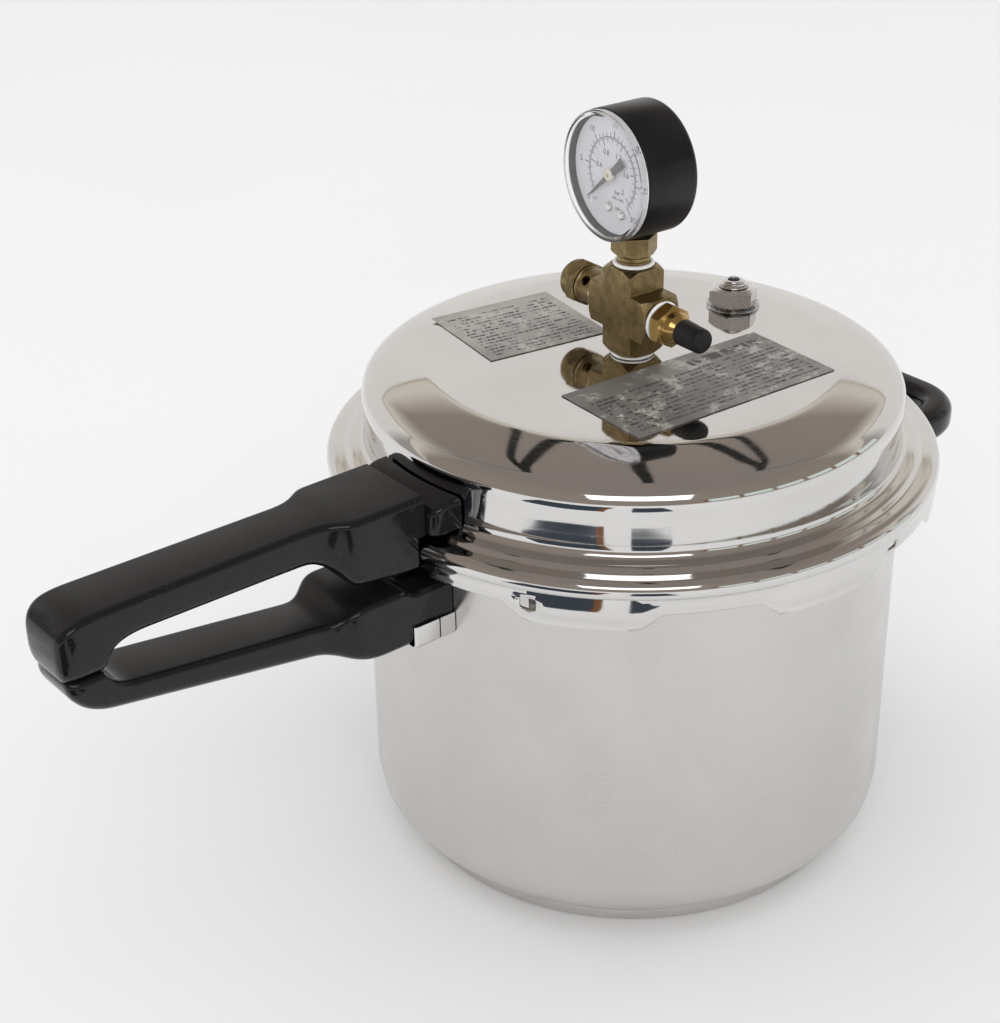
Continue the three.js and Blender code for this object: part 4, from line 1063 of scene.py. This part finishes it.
class CANNER_OT_cross(bpy.types.Operator):
    """Build the brass cross with its bored arms, and the white tape at its joints"""

    bl_idname = "canner.cross"
    bl_label = "Brass cross"

    def execute(self, context):
        half, arm = 8.8, 18.4
        bm = bmesh.new()
        bmesh.ops.create_cube(bm, size=2 * half)
        for direction in (Vector((0, 1, 0)), Vector((0, -1, 0)), Vector((0, 0, 1)), Vector((0, 0, -1))):
            face = max(
                bm.faces,
                key=lambda f: f.normal.dot(direction) + 0.001 * f.calc_center_median().dot(direction)
            )
            grown = bmesh.ops.extrude_discrete_faces(bm, faces=[face])
            tip = grown["faces"][0]
            bmesh.ops.translate(bm, vec=direction * (arm - half), verts=tip.verts)
        bmesh.ops.recalc_face_normals(bm, faces=bm.faces)
        soften(bm, sizes().brass_edge / MM, 40.0, 3)
        corner = half * math.sqrt(2)
        cone = [
            (0, -arm), (half + 0.5, -arm), (corner + 0.3, 2.4 - arm), (corner + 0.3, arm - 2.4),
            (half + 0.5, arm), (0, arm)
        ]
        ends = carved(solid_turned(cone, 64), move(solid_turned(cone, 64), turn(90.0, "X")), "UNION")
        cross = carved(bm, ends, "INTERSECT")
        port = [(0, arm - 9), (6.9, arm - 9), (6.9, arm - 0.9), (7.6, arm + 0.2), (0, arm + 0.2)]
        for quarter in range(4):
            cross = carved(cross, move(solid_turned(port, 48), turn(90.0 * quarter, "X")))
        piece(
            cross, "brass_cross", "lid", finish("Old brass"), ["cross_body"],
            sharp=30.0, place=FITTINGS @ shift(z=CROSS_Z),
        )
        tape = finish("Sealing tape")
        seal_low, seal_high = low("cross_seal").z, high("cross_seal").z
        seal = turned(
            [(7.0, seal_low), (9.0, seal_low, 0.3), (9.0, seal_high, 0.3), (7.0, seal_high)], 64
        )
        piece(seal, "cross_seal_ring", "lid", tape, ["cross_seal"], place=FITTINGS)
        ring = [
            (6.9, 0.0), (8.2, 0.0, 0.25), (8.4, 0.45, 0.2), (8.05, 0.7, 0.15), (7.9, 1.2, 0.3), (6.9, 1.2)
        ]
        top_ring = turned(ring, 64)
        piece(
            top_ring, "tape_gauge", "lid", tape, ["gauge_tape"],
            place=FITTINGS @ shift(z=low("gauge_tape").z)
        )
        side_ring = turned(ring, 64)
        piece(
            side_ring, "tape_inlet", "lid", tape, ["inlet_tape"],
            place=ALONG_MINUS_Y @ shift(z=arm + 0.3)
        )
        return {"FINISHED"}


class CANNER_OT_gauge(bpy.types.Operator):
    """Build the gauge's brass socket, black case and clear front cup"""

    bl_idname = "canner.gauge"
    bl_label = "Gauge case"

    def execute(self, context):
        low_z, high_z = 255.5, 264.0
        hexagon = carved(
            hex_prism(16.0, low_z, high_z),
            solid_turned([(0, low_z), (6.9, low_z), (9.6, low_z + 2.2), (9.6, high_z), (0, high_z)], 64),
            "INTERSECT",
        )
        neck = solid_turned(
            [
                (0, 243.4), (6.4, 243.4), (6.4, 251.4), (6.7, 251.6), (6.7, 253.6), (6.3, 253.9),
                (6.3, 254.3),
                (6.8, 254.6), (6.8, low_z + 0.4), (0, low_z + 0.4),
            ]
        )
        post = solid_turned([(0, high_z - 0.4), (4.5, high_z - 0.4), (4.5, 273.8, 0.4), (0, 273.8)])
        socket = merged(hexagon, neck, post)
        piece(
            socket, "gauge_stem", "lid", finish("Old brass"), ["gauge_socket"], sharp=28.0,
            place=FITTINGS
        )
        edge = sizes().gauge_edge / MM
        case = turned(
            [
                (0, -11.0), (26.0, -11.0, edge), (26.0, 13.0, 0.35), (25.0, 13.0, 0.3), (25.0, -10.0, 1.4),
                (0, -10.0),
            ],
            96,
        )
        hole = pot_cylinder(4.8, -60.0, 60.0)
        move(hole, shift(y=-60.0 - 15.5) @ turn(90.0, "X"))
        case = carved(case, hole)
        piece(
            case, "gauge_shell", "lid", finish("Gauge black"), ["gauge_case"], place=GAUGE_FACE,
            sharp=38.0
        )
        cup = turned(
            [
                (0, 16.6), (24.6, 16.6, 0.8), (25.7, 15.6, 0.5), (25.7, 13.3, 0.2), (24.4, 13.3, 0.2),
                (24.4, 15.0, 0.5), (23.4, 15.4, 0.3), (0, 15.4),
            ],
            96,
        )
        piece(
            cup, "gauge_window", "lid", finish("Clear cup"), ["gauge_lens"], place=GAUGE_FACE,
            sharp=38.0
        )
        return {"FINISHED"}


# ---- Gauge face ----------------------------------------------------------------------------------

DIAL_FRONT = 10.6
ZERO_ANGLE = 221.0
SWEEP = 270.0


def dial_angle(share):
    """Angle on the face, anticlockwise from the reader's right, at a share of the full scale."""
    return ZERO_ANGLE - SWEEP * share


def tick(inner, outer, width, degrees):
    bar = block(inner, outer, -width / 2, width / 2, 0.0, 0.05)
    return move(bar, turn(degrees))


def written(text, height, at_x, at_y):
    """Flat numbers standing 0.05 mm proud of the dial."""
    curve = bpy.data.curves.new("figures", "FONT")
    curve.body = text
    curve.size = height
    curve.align_x = "CENTER"
    curve.align_y = "CENTER"
    curve.extrude = 0.025
    curve.resolution_u = 3
    obj = bpy.data.objects.new("figures", curve)
    bpy.context.scene.collection.objects.link(obj)
    mesh = bpy.data.meshes.new_from_object(obj.evaluated_get(bpy.context.evaluated_depsgraph_get()))
    bm = bmesh.new()
    bm.from_mesh(mesh)
    bpy.data.objects.remove(obj)
    bpy.data.curves.remove(curve)
    bpy.data.meshes.remove(mesh)
    return move(bm, shift(at_x, at_y, 0.025))


def around(radius, degrees):
    return radius * math.cos(math.radians(degrees)), radius * math.sin(math.radians(degrees))


def dial_scale():
    """Two arcs with ticks out and in, plain numbers for both scales and the plain names of their units."""
    parts = []
    for inner, outer in ((14.35, 14.6), (13.75, 13.95)):
        arc = wire([(inner, 0.0), (outer, 0.0), (outer, 0.05), (inner, 0.05)])
        parts.append(spun(move(arc, turn(dial_angle(1.0))), 72, SWEEP))
    for k in range(31):
        long = k % 5 == 0
        parts.append(tick(14.5, 17.4 if long else 16.1, 0.34 if long else 0.2, dial_angle(k / 30)))
    full_bar = 30.0 / 14.504
    for k in range(21):
        long = k % 4 == 0
        parts.append(
            tick(11.0 if long else 12.3, 13.85, 0.34 if long else 0.2, dial_angle(k * 0.1 / full_bar))
        )
    for k in range(7):
        x, y = around(19.7, dial_angle(k / 6))
        parts.append(written(str(5 * k), 3.4, x, y))
    for k in range(1, 6):
        x, y = around(8.6, dial_angle(k * 0.4 / full_bar))
        parts.append(written(("%.1f" % (0.4 * k)).rstrip("0").rstrip("."), 3.0, x, y))
    for text, height, x, y in (
        ("bar", 2.5, 3.2, -6.6), ("100 x kPa", 1.9, 3.6, -9.0), ("psi", 2.5, 3.6, -12.6)
    ):
        parts.append(written(text, height, x, y))
    return merged(*parts)


class CANNER_OT_gauge_face(bpy.types.Operator):
    """Build the dial with its scale, the pointer, its hub, the rivets and the stop pin"""

    bl_idname = "canner.gauge_face"
    bl_label = "Gauge face"

    def execute(self, context):
        dial = turned([(1.9, 10.0), (23.6, 10.0, 0.2), (23.6, DIAL_FRONT, 0.2), (1.9, DIAL_FRONT)], 96)
        piece(dial, "dial_plate", "lid", finish("Dial white"), ["gauge_dial"], place=GAUGE_FACE)
        piece(
            dial_scale(), "dial_scale", "lid", finish("Dial ink"),
            place=GAUGE_FACE @ shift(z=DIAL_FRONT)
        )
        self.pointer()
        steel_finish = finish("Fitting steel")
        rivet = [(0, -0.3), (0.8, -0.3), (0.8, 0.3), (1.9, 0.3, 0.15), (1.75, 1.1, 0.6), (0, 1.5)]
        for side, x, y in (("left", -1.5, -13.2), ("right", 6.4, -14.6)):
            place = GAUGE_FACE @ shift(x, y, DIAL_FRONT)
            name = "dial_rivet_" + side
            piece(
                solid_turned(rivet, 40), name, "lid", steel_finish, ["dial_screw_" + side],
                place=place
            )
        pin = solid_turned([(0, -2.0), (0.5, -2.0), (0.5, 2.0, 0.2), (0, 2.0)], 24)
        piece(
            pin, "stop_pin", "lid", steel_finish, ["pointer_stop_pin"],
            place=GAUGE_FACE @ shift(-9.6, -12.0, DIAL_FRONT)
        )
        return {"FINISHED"}

    def pointer(self):
        """Flat blade with a fine tip and a broad tail, at rest against the stop pin."""
        blade = lofted(
            [
                {
                    "place": shift(x=x), "half_width": half, "bottom": 1.2, "top": 1.65,
                    "low_round": 0.08, "high_round": 0.12,
                }
                for x, half in (
                    (-17.2, 0.18), (-12.0, 0.5), (-6.0, 0.85), (0.0, 1.15), (4.0, 1.4), (9.9, 1.9),
                    (10.4, 1.8)
                )
            ],
            segments=2,
        )
        place = GAUGE_FACE @ shift(z=DIAL_FRONT) @ turn(41.0)
        piece(
            blade, "pointer_blade", "pointer", finish("Pointer grey"), ["gauge_pointer"],
            place=place
        )
        hub = solid_turned(
            [(0, 0.5), (2.4, 0.5, 0.2), (2.5, 2.2, 0.5), (1.15, 2.6, 0.1), (1.0, 2.35), (0, 2.35)], 48
        )
        piece(hub, "pointer_hub", "pointer", finish("Hub cream"), place=place)
        arbor = solid_turned(
            [(0, -14.6), (1.0, -14.6), (1.0, 0.2), (0.7, 0.3), (0.7, 2.5, 0.15), (0, 2.5)], 32
        )
        piece(
            arbor, "arbor_pin", "pointer", finish("New brass"), ["pointer_arbor"], place=place
        )


# ---- Relief and inlet valves ---------------------------------------------------------------------


def bright_where(bm, test):
    """Give faces that pass a test the second material."""
    for face in bm.faces:
        if test(face.calc_center_median()):
            face.material_index = 1
    return bm


class CANNER_OT_relief(bpy.types.Operator):
    """Build the relief valve: drilled barrel, hexagonal cap with a round end, and its stem"""

    bl_idname = "canner.relief"
    bl_label = "Relief valve"

    def execute(self, context):
        start, end = 18.6, 29.4
        barrel = turned(
            [
                (3.0, 11.0), (6.5, 11.0), (6.5, start), (7.0, start), (8.0, 19.0, 0.25), (8.0, 19.9, 0.25),
                (7.55, 20.3), (7.55, 28.2), (7.95, 28.6, 0.2), (7.95, end, 0.2), (6.4, end), (6.4, 20.4),
                (3.0, 20.4),
            ],
            72,
        )
        for degrees in (40.0, 130.0):
            drill = pot_cylinder(2.3, -12.0, 12.0)
            barrel = carved(barrel, move(drill, shift(z=24.2) @ turn(degrees) @ turn(90.0, "Y")))
        bright_where(barrel, lambda c: (18.9 < c.z < 20.1 or 28.5 < c.z < 29.5) and c.xy.length > 7.4)
        looks = [finish("Old brass"), finish("Worn brass")]
        piece(
            barrel, "relief_barrel", "lid", looks, ["relief_body"], sharp=28.0,
            place=ALONG_PLUS_Y
        )
        low_z, high_z = end + 0.3, 35.0
        hexagon = carved(
            hex_prism(17.0, low_z, high_z),
            solid_turned(
                [
                    (0, low_z), (8.2, low_z), (9.7, low_z + 0.9), (9.7, high_z - 1.0), (8.3, high_z),
                    (0, high_z)
                ], 64
            ),
            "INTERSECT",
        )
        end_cap = solid_turned(
            [
                (0, high_z - 0.5), (8.1, high_z - 0.5), (8.3, 35.8, 0.3), (8.2, 38.4, 1.2), (6.2, 41.2, 1.4),
                (0, 41.4)
            ], 64
        )
        cap = carved(hexagon, end_cap, "UNION")
        cap = carved(
            cap, solid_turned([(0, 20.0), (4.4, 20.0), (4.4, 38.0), (1.5, 38.2), (1.5, 45.0), (0, 45.0)], 40)
        )
        piece(
            cap, "relief_end", "lid", finish("Old brass"), ["relief_cap"], sharp=28.0,
            place=ALONG_PLUS_Y
        )
        stem = solid_turned(
            [
                (0, 22.0), (5.2, 22.0, 0.3), (5.2, 23.6, 0.3), (1.2, 23.6), (1.2, 41.8), (1.9, 41.8, 0.3),
                (1.9, 43.6, 0.6), (0.9, 44.2), (0, 44.2),
            ],
            40,
        )
        piece(
            stem, "relief_pin", "relief_stem", finish("New brass"), ["relief_stem"],
            place=ALONG_PLUS_Y
        )
        return {"FINISHED"}


class CANNER_OT_inlet(bpy.types.Operator):
    """Build the air inlet: bright brass hexagon and dome under a soft black dust cap"""

    bl_idname = "canner.inlet"
    bl_label = "Inlet valve"

    def execute(self, context):
        low_z, high_z = 20.5, 26.6
        hexagon = carved(
            hex_prism(15.6, low_z, high_z),
            solid_turned(
                [
                    (0, low_z), (7.6, low_z), (9.2, low_z + 1.0), (9.2, high_z - 1.5), (7.0, high_z),
                    (0, high_z)
                ], 64
            ),
            "INTERSECT",
        )
        collar = solid_turned(
            [(0, 11.0), (6.5, 11.0), (6.5, 20.0), (7.2, 20.2), (7.2, low_z + 0.4), (0, low_z + 0.4)]
        )
        dome = solid_turned(
            [(0, high_z - 0.4), (6.8, high_z - 0.4), (6.7, 27.6, 0.4), (6.2, 29.2, 1.6), (4.6, 31.0, 1.2),
             (3.9, 32.0), (3.9, 40.6, 0.4), (3.4, 41.2), (0, 41.2)],
            64,
        )
        bore = solid_turned([(0, 8.0), (2.4, 8.0), (2.4, 43.0), (0, 43.0)], 40)
        body = carved(carved(carved(hexagon, collar, "UNION"), dome, "UNION"), bore)
        piece(
            body, "inlet_fitting", "lid", finish("New brass"), ["inlet_body"], sharp=28.0,
            place=ALONG_MINUS_Y
        )
        cap = turned(
            [
                (0, 42.0), (0, 44.8), (4.9, 44.8, 1.9), (5.25, 34.0), (5.3, 31.7, 0.4), (4.2, 31.7),
                (4.2, 42.0),
            ],
            72,
        )
        piece(
            cap, "rubber_cap", "dust_cap", finish("Cap rubber"), ["dust_cap"], sharp=38.0,
            place=ALONG_MINUS_Y
        )
        return {"FINISHED"}


class CANNER_OT_vent(bpy.types.Operator):
    """Build the steel vent on the lid: washer, chamfered nut and stepped boss with its bore"""

    bl_idname = "canner.vent"
    bl_label = "Vent fitting"

    def execute(self, context):
        box_low, box_high = low("vent_fitting"), high("vent_fitting")
        place = shift((box_low.x + box_high.x) / 2, (box_low.y + box_high.y) / 2)
        top = high("lid_shell").z
        boss = turned(
            [
                (2.5, top - 8), (4.8, top - 8), (4.8, top + 9.2), (6.5, top + 9.2, 0.3),
                (6.5, top + 9.9, 0.3),
                (5.2, top + 10.3), (5.0, top + 11.0, 0.2), (4.1, top + 11.2), (3.9, top + 11.8, 0.3),
                (2.5, top + 11.8, 0.3),
            ],
            72,
        )
        metal = finish("Fitting steel")
        piece(boss, "vent_boss", "lid", metal, ["vent_fitting"], sharp=28.0, place=place)
        z0, z1 = low("vent_nut").z, high("vent_nut").z
        nut = carved(
            hex_prism(18.0, z0, z1),
            solid_turned([(0, z0), (9.6, z0), (10.6, z0 + 0.7), (10.6, z1 - 2.0), (7.9, z1), (0, z1)], 72),
            "INTERSECT",
        )
        nut = carved(nut, solid_turned([(0, z0 - 1), (5.1, z0 - 1), (5.1, z1 + 1), (0, z1 + 1)], 48))
        piece(nut, "vent_hexagon", "lid", metal, ["vent_nut"], sharp=24.0, place=place)
        w0, w1 = low("vent_washer").z, high("vent_washer").z
        washer = turned([(5.1, w0), (11.2, w0, 0.4), (11.2, w1, 0.4), (5.1, w1)], 72)
        piece(
            washer, "vent_ring", "lid", finish("Clear washer"), ["vent_washer"], place=place
        )
        return {"FINISHED"}


# ---- Labels and hidden parts ---------------------------------------------------------------------


class CANNER_OT_labels(bpy.types.Operator):
    """Build the two foil labels on the lid, with worn edges and rows of plain dashes"""

    bl_idname = "canner.labels"
    bl_label = "Foil labels"

    def execute(self, context):
        plates = {
            # tone, the seventh number, is painted light: the rear label's foil is made lighter (1.35) and the
            # front's darker (0.88), though both are the same foil
            "label_rear": (56.0, 51.0, -17.0, 51.0, -9.5, 0.006, 1.35, 0.0),
            "label_front": (100.0, 47.5, -0.5, -39.5, -3.3, 0.012, 0.88, 1.0),
        }
        z = low("label_front").z
        for node, (long, wide, x, y, degrees, title, tone, heading) in plates.items():
            bm = bmesh.new()
            bmesh.ops.create_grid(bm, x_segments=40, y_segments=24, size=0.5)
            bmesh.ops.scale(bm, vec=(long, wide, 1.0), verts=bm.verts)
            for vert in bm.verts:
                if vert.is_boundary:
                    ripple = math.sin(vert.co.x * 1.9 + x) + math.sin(vert.co.y * 2.7 + y)
                    vert.co.xy *= 1.0 - 0.0016 * (1.0 + ripple)
            bmesh.ops.solidify(bm, geom=bm.faces[:], thickness=0.3)
            bmesh.ops.recalc_face_normals(bm, faces=bm.faces)
            move(bm, shift(z=-min(v.co.z for v in bm.verts)))
            look = foil_finish(
                "Foil " + node, (x * MM, y * MM), degrees, long * MM, wide * MM, title, tone, heading
            )
            place = shift(x, y, z) @ turn(degrees)
            piece(bm, node.replace("label", "foil"), "lid", look, [node], place=place)
        return {"FINISHED"}


class CANNER_OT_hidden_parts(bpy.types.Operator):
    """Give the frame's own small and hidden nodes their finishes"""

    bl_idname = "canner.hidden_parts"
    bl_label = "Small hardware"

    def execute(self, context):
        looks = {
            "Core aluminium": ["base_core"],
            "Fitting steel": [
                "pot_handle_bracket", "lower_handle_screw", "helper_bracket", "helper_screw_front",
                "helper_screw_rear", "lid_handle_bracket", "upper_handle_screw_inner",
                "upper_handle_screw_outer", "vent_lock_nut", "relief_spring", "inlet_pin", "inlet_spring",
            ],
            "Seal rubber": ["lid_gasket", "lid_washer", "relief_seal"],
            "Old brass": ["cross_nipple", "lid_lock_nut"],
            "New brass": ["movement_plate", "sector_gear", "bourdon_tube", "inlet_core"],
        }
        for name, nodes in looks.items():
            for node in nodes:
                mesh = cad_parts[node].data
                mesh.materials.clear()
                mesh.materials.append(finish(name))
        return {"FINISHED"}


# ---- Stage ---------------------------------------------------------------------------------------


# the room's own directions: away from the handles' side, and to its right
AWAY = Vector((0.627, 0.779, 0.0))
RIGHT = Vector((0.779, -0.627, 0.0))


def room(right, away, height):
    """A place in the room, in metres from the pot's axis."""
    return RIGHT * right + AWAY * away + Vector((0.0, 0.0, height))


def facing(place, target):
    return (Vector(target) - place).to_track_quat("-Z", "Y").to_matrix().to_4x4()


def soft_light(name, place, target, wide, tall, power, mirrored=True):
    data = bpy.data.lights.new(name, "AREA")
    data.shape = "RECTANGLE"
    data.size = wide
    data.size_y = tall
    data.energy = power
    obj = bpy.data.objects.new(name, data)
    bpy.context.scene.collection.objects.link(obj)
    obj.matrix_world = Matrix.Translation(place) @ facing(place, target)
    obj.visible_camera = False
    obj.visible_glossy = mirrored
    return obj


def card(name, corners, tone, strength=1.0):
    """A flat card round the pot, seen only where the polished metal mirrors it."""
    bm = bmesh.new()
    bmesh.ops.contextual_create(bm, geom=[bm.verts.new(corner) for corner in corners])
    mesh = bpy.data.meshes.new(name)
    bm.to_mesh(mesh)
    bm.free()
    obj = bpy.data.objects.new(name, mesh)
    bpy.context.scene.collection.objects.link(obj)
    look = bpy.data.materials.get(tone) or self_lit(tone, CARD_TONES[tone], strength)
    mesh.materials.append(look)
    obj.visible_camera = obj.visible_diffuse = obj.visible_shadow = obj.visible_transmission = False


CARD_TONES = {
    "Card slate": (0.055, 0.066, 0.085),
    "Card black": (0.022, 0.023, 0.021),
    "Card window": (0.78, 0.88, 0.84),
    "Card wood": (0.22, 0.095, 0.045),
}


def self_lit(name, tone, strength):
    material, sheet, main = shader(
        name, Base_Color=(0, 0, 0, 1), Emission_Color=(*tone, 1), Specular_IOR_Level=0.0
    )
    main.inputs["Emission Strength"].default_value = strength
    return material


class CANNER_OT_stage(bpy.types.Operator):
    """Lay the pale floor, the soft studio light and the camera"""

    bl_idname = "canner.stage"
    bl_label = "Stage"

    def execute(self, context):
        scene = bpy.context.scene
        scene.view_settings.view_transform = "Standard"
        bm = bmesh.new()
        bmesh.ops.create_grid(bm, x_segments=1, y_segments=1, size=4.0)
        mesh = bpy.data.meshes.new("floor")
        bm.to_mesh(mesh)
        bm.free()
        floor = bpy.data.objects.new("floor", mesh)
        floor.location.z = -0.0002
        scene.collection.objects.link(floor)
        material, sheet, main = shader("Floor", Roughness=0.9, Specular_IOR_Level=0.1)
        grain = sheet.noise(sheet.object_place(), 3.0, 2.0)
        sheet.join(sheet.blend(grain, (0.90, 0.90, 0.90), (0.93, 0.93, 0.93)), main.inputs["Base Color"])
        mesh.materials.append(material)
        self.sky(scene)
        self.surroundings()
        soft_light("Window front", room(0.0, -1.9, 1.45), (0, 0, 0.2), 1.5, 0.85, 9.0)
        soft_light("Soft left", room(-1.8, 0.6, 1.9), (0, 0, 0.1), 1.4, 1.4, 7.0, mirrored=False)
        soft_light("Soft right", room(1.8, 0.6, 1.9), (0, 0, 0.1), 1.4, 1.4, 5.0, mirrored=False)
        self.camera(scene)
        return {"FINISHED"}

    def surroundings(self):
        """Dark rails overhead, dark ground beyond the table and a row of windows, for the polished metal."""
        height = 1.7
        sill, lintel, window_way = 0.25, 0.85, 3.0

        def rail(name, start, end, half):
            along = (Vector(end) - Vector(start)).normalized()
            across = Vector((-along.y, along.x)) * half
            spots = [
                Vector(start) + across, Vector(start) - across, Vector(end) - across, Vector(end) + across
            ]
            card(name, [room(p.x, p.y, height) for p in spots], "Card black")

        rail("rail_middle", (0.10, 2.00), (0.10, 0.05), 0.028)
        for name, side in (("left", -1.0), ("right", 1.0)):
            foot = (0.10 + side * 0.62, 0.28)
            rail("rail_" + name + "_near", foot, (0.10 + side * 0.10, 1.95), 0.030)
            rail("rail_" + name + "_far", foot, (0.10 + side * 0.22, 2.30), 0.020)
            rail("rail_" + name + "_cross", foot, (0.10 + side * 1.9, 0.75), 0.008)
        ground = (
            ("ground_left", ((-0.30, -0.31), (-0.115, -0.40), (-0.20, -0.95), (-0.62, -0.80)), "Card slate"),
            ("ground_wood", ((-0.115, -0.40), (-0.095, -0.40), (-0.16, -0.95), (-0.20, -0.95)), "Card wood"),
            ("ground_middle", ((-0.025, -0.42), (0.085, -0.42), (0.13, -0.95), (-0.05, -0.95)), "Card slate"),
        )
        for name, corners, tone in ground:
            card(name, [room(x, y, 0.001) for x, y in corners], tone)
        for k in range(6):
            start, end = math.radians(72 + 14 * k), math.radians(84 + 14 * k)
            ends = [
                (
                    window_way * math.sin(a), window_way * math.cos(a)
                ) for a in (start, end, end + math.radians(2))
            ]
            for name, (x0, y0), (x1, y1), tone in (
                (
                    "window_%d" % k, ends[0], ends[1], "Card window"
                ), ("post_%d" % k, ends[1], ends[2], "Card wood")
            ):
                card(
                    name,
                    [room(x0, y0, sill), room(x1, y1, sill), room(x1, y1, lintel), room(x0, y0, lintel)], tone
                )

    def sky(self, scene):
        """Even pale light, which polished metal sees as pale walls under a browner ceiling."""
        world = bpy.data.worlds.new("Room light")
        scene.world = world
        world.use_nodes = True
        sheet = Sheet(world.node_tree)
        back = world.node_tree.nodes["Background"]
        parts = sheet.node("ShaderNodeSeparateXYZ")
        way = sheet.node("ShaderNodeTexCoord").outputs["Generated"]
        sheet.join(way, parts.inputs[0])
        rise = sheet.maths("MAXIMUM", parts.outputs["Z"], 0.02)

        def share(direction):
            dot = sheet.node("ShaderNodeVectorMath", operation="DOT_PRODUCT")
            sheet.join(way, dot.inputs[0])
            dot.inputs[1].default_value = direction
            return dot.outputs["Value"]

        away, right = share(AWAY), share(RIGHT)
        ceiling_end, ceiling_half, ceiling_near = 1.92, 1.3, 0.8
        depth = sheet.maths("DIVIDE", away, rise)
        side = sheet.maths("ABSOLUTE", sheet.maths("SUBTRACT", sheet.maths("DIVIDE", right, rise), 0.1))
        beside = sheet.maths(
            "MAXIMUM", sheet.maths("SUBTRACT", ceiling_half, side),
            sheet.maths("SUBTRACT", ceiling_near, depth)
        )
        inset = sheet.maths("MINIMUM", sheet.maths("SUBTRACT", ceiling_end, depth), beside)
        ceiling = sheet.blend(sheet.spread(inset, 0.22, 0.60), (0.72, 0.665, 0.60), (0.315, 0.270, 0.235))
        zenith = sheet.blend(sheet.spread(parts.outputs["Z"], 0.55, 0.9), ceiling, (0.285, 0.245, 0.222))
        edged = sheet.blend(sheet.spread(inset, 0.0, 0.06), (0.36, 0.32, 0.22), zenith)
        behind = sheet.spread(away, 0.34, 0.50)
        wall = sheet.blend(behind, (0.40, 0.375, 0.355), (0.84, 0.81, 0.785))
        under = sheet.spread(inset, -0.02, 0.0)
        seen = sheet.blend(under, wall, edged)
        light = sheet.node("ShaderNodeLightPath")
        tone = sheet.blend(light.outputs["Is Glossy Ray"], (0.83, 0.83, 0.83), seen)
        sheet.join(tone, back.inputs["Color"])
        back.inputs["Strength"].default_value = 1.0

    def camera(self, scene):
        """Look down at the pot from its front left, with the long handles nearest."""
        data = bpy.data.cameras.new("Camera")
        data.sensor_width = 36.0
        data.lens = 71.05
        data.clip_end = 50.0
        obj = bpy.data.objects.new("Camera", data)
        scene.collection.objects.link(obj)
        right = Vector((0.77364, -0.63343, -0.01552))
        up = Vector((0.31275, 0.36044, 0.87879))
        back = right.cross(up).normalized()
        turned_to = Matrix((right, up, back)).transposed().to_4x4()
        obj.matrix_world = Matrix.Translation((-0.51277, -0.54988, 0.54748)) @ turned_to
        scene.camera = obj


# ---- Panel and registration ----------------------------------------------------------------------

PARTS = (
    CANNER_OT_stage,
    CANNER_OT_pot,
    CANNER_OT_lid,
    CANNER_OT_long_handles,
    CANNER_OT_helper,
    CANNER_OT_cross,
    CANNER_OT_gauge,
    CANNER_OT_gauge_face,
    CANNER_OT_relief,
    CANNER_OT_inlet,
    CANNER_OT_vent,
    CANNER_OT_labels,
    CANNER_OT_hidden_parts,
)


class CANNER_PT_parts(bpy.types.Panel):
    """List the pot's sizes, finishes and makers"""

    bl_idname = "CANNER_PT_parts"
    bl_label = "Pressure canner"
    bl_space_type = "VIEW_3D"
    bl_region_type = "UI"
    bl_category = "Canner"

    def draw(self, context):
        for group in (context.scene.canner_sizes, context.scene.canner_finishes):
            column = self.layout.box().column()
            for field in group.bl_rna.properties:
                if field.identifier not in {"rna_type", "name"}:
                    column.prop(group, field.identifier)
        for operator in PARTS:
            self.layout.operator(operator.bl_idname)


CLASSES = (CannerSizes, CannerFinishes, *PARTS, CANNER_PT_parts)


def register():
    for each in CLASSES:
        bpy.utils.register_class(each)
    bpy.types.Scene.canner_sizes = PointerProperty(type=CannerSizes)
    bpy.types.Scene.canner_finishes = PointerProperty(type=CannerFinishes)


def unregister():
    del bpy.types.Scene.canner_finishes
    del bpy.types.Scene.canner_sizes
    for each in reversed(CLASSES):
        bpy.utils.unregister_class(each)


def main():
    register()
    make_groups()
    for operator in PARTS:
        group, name = operator.bl_idname.split(".")
        getattr(getattr(bpy.ops, group), name)()
    bpy.context.view_layer.update()
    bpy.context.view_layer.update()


if __name__ == "__main__":
    main()
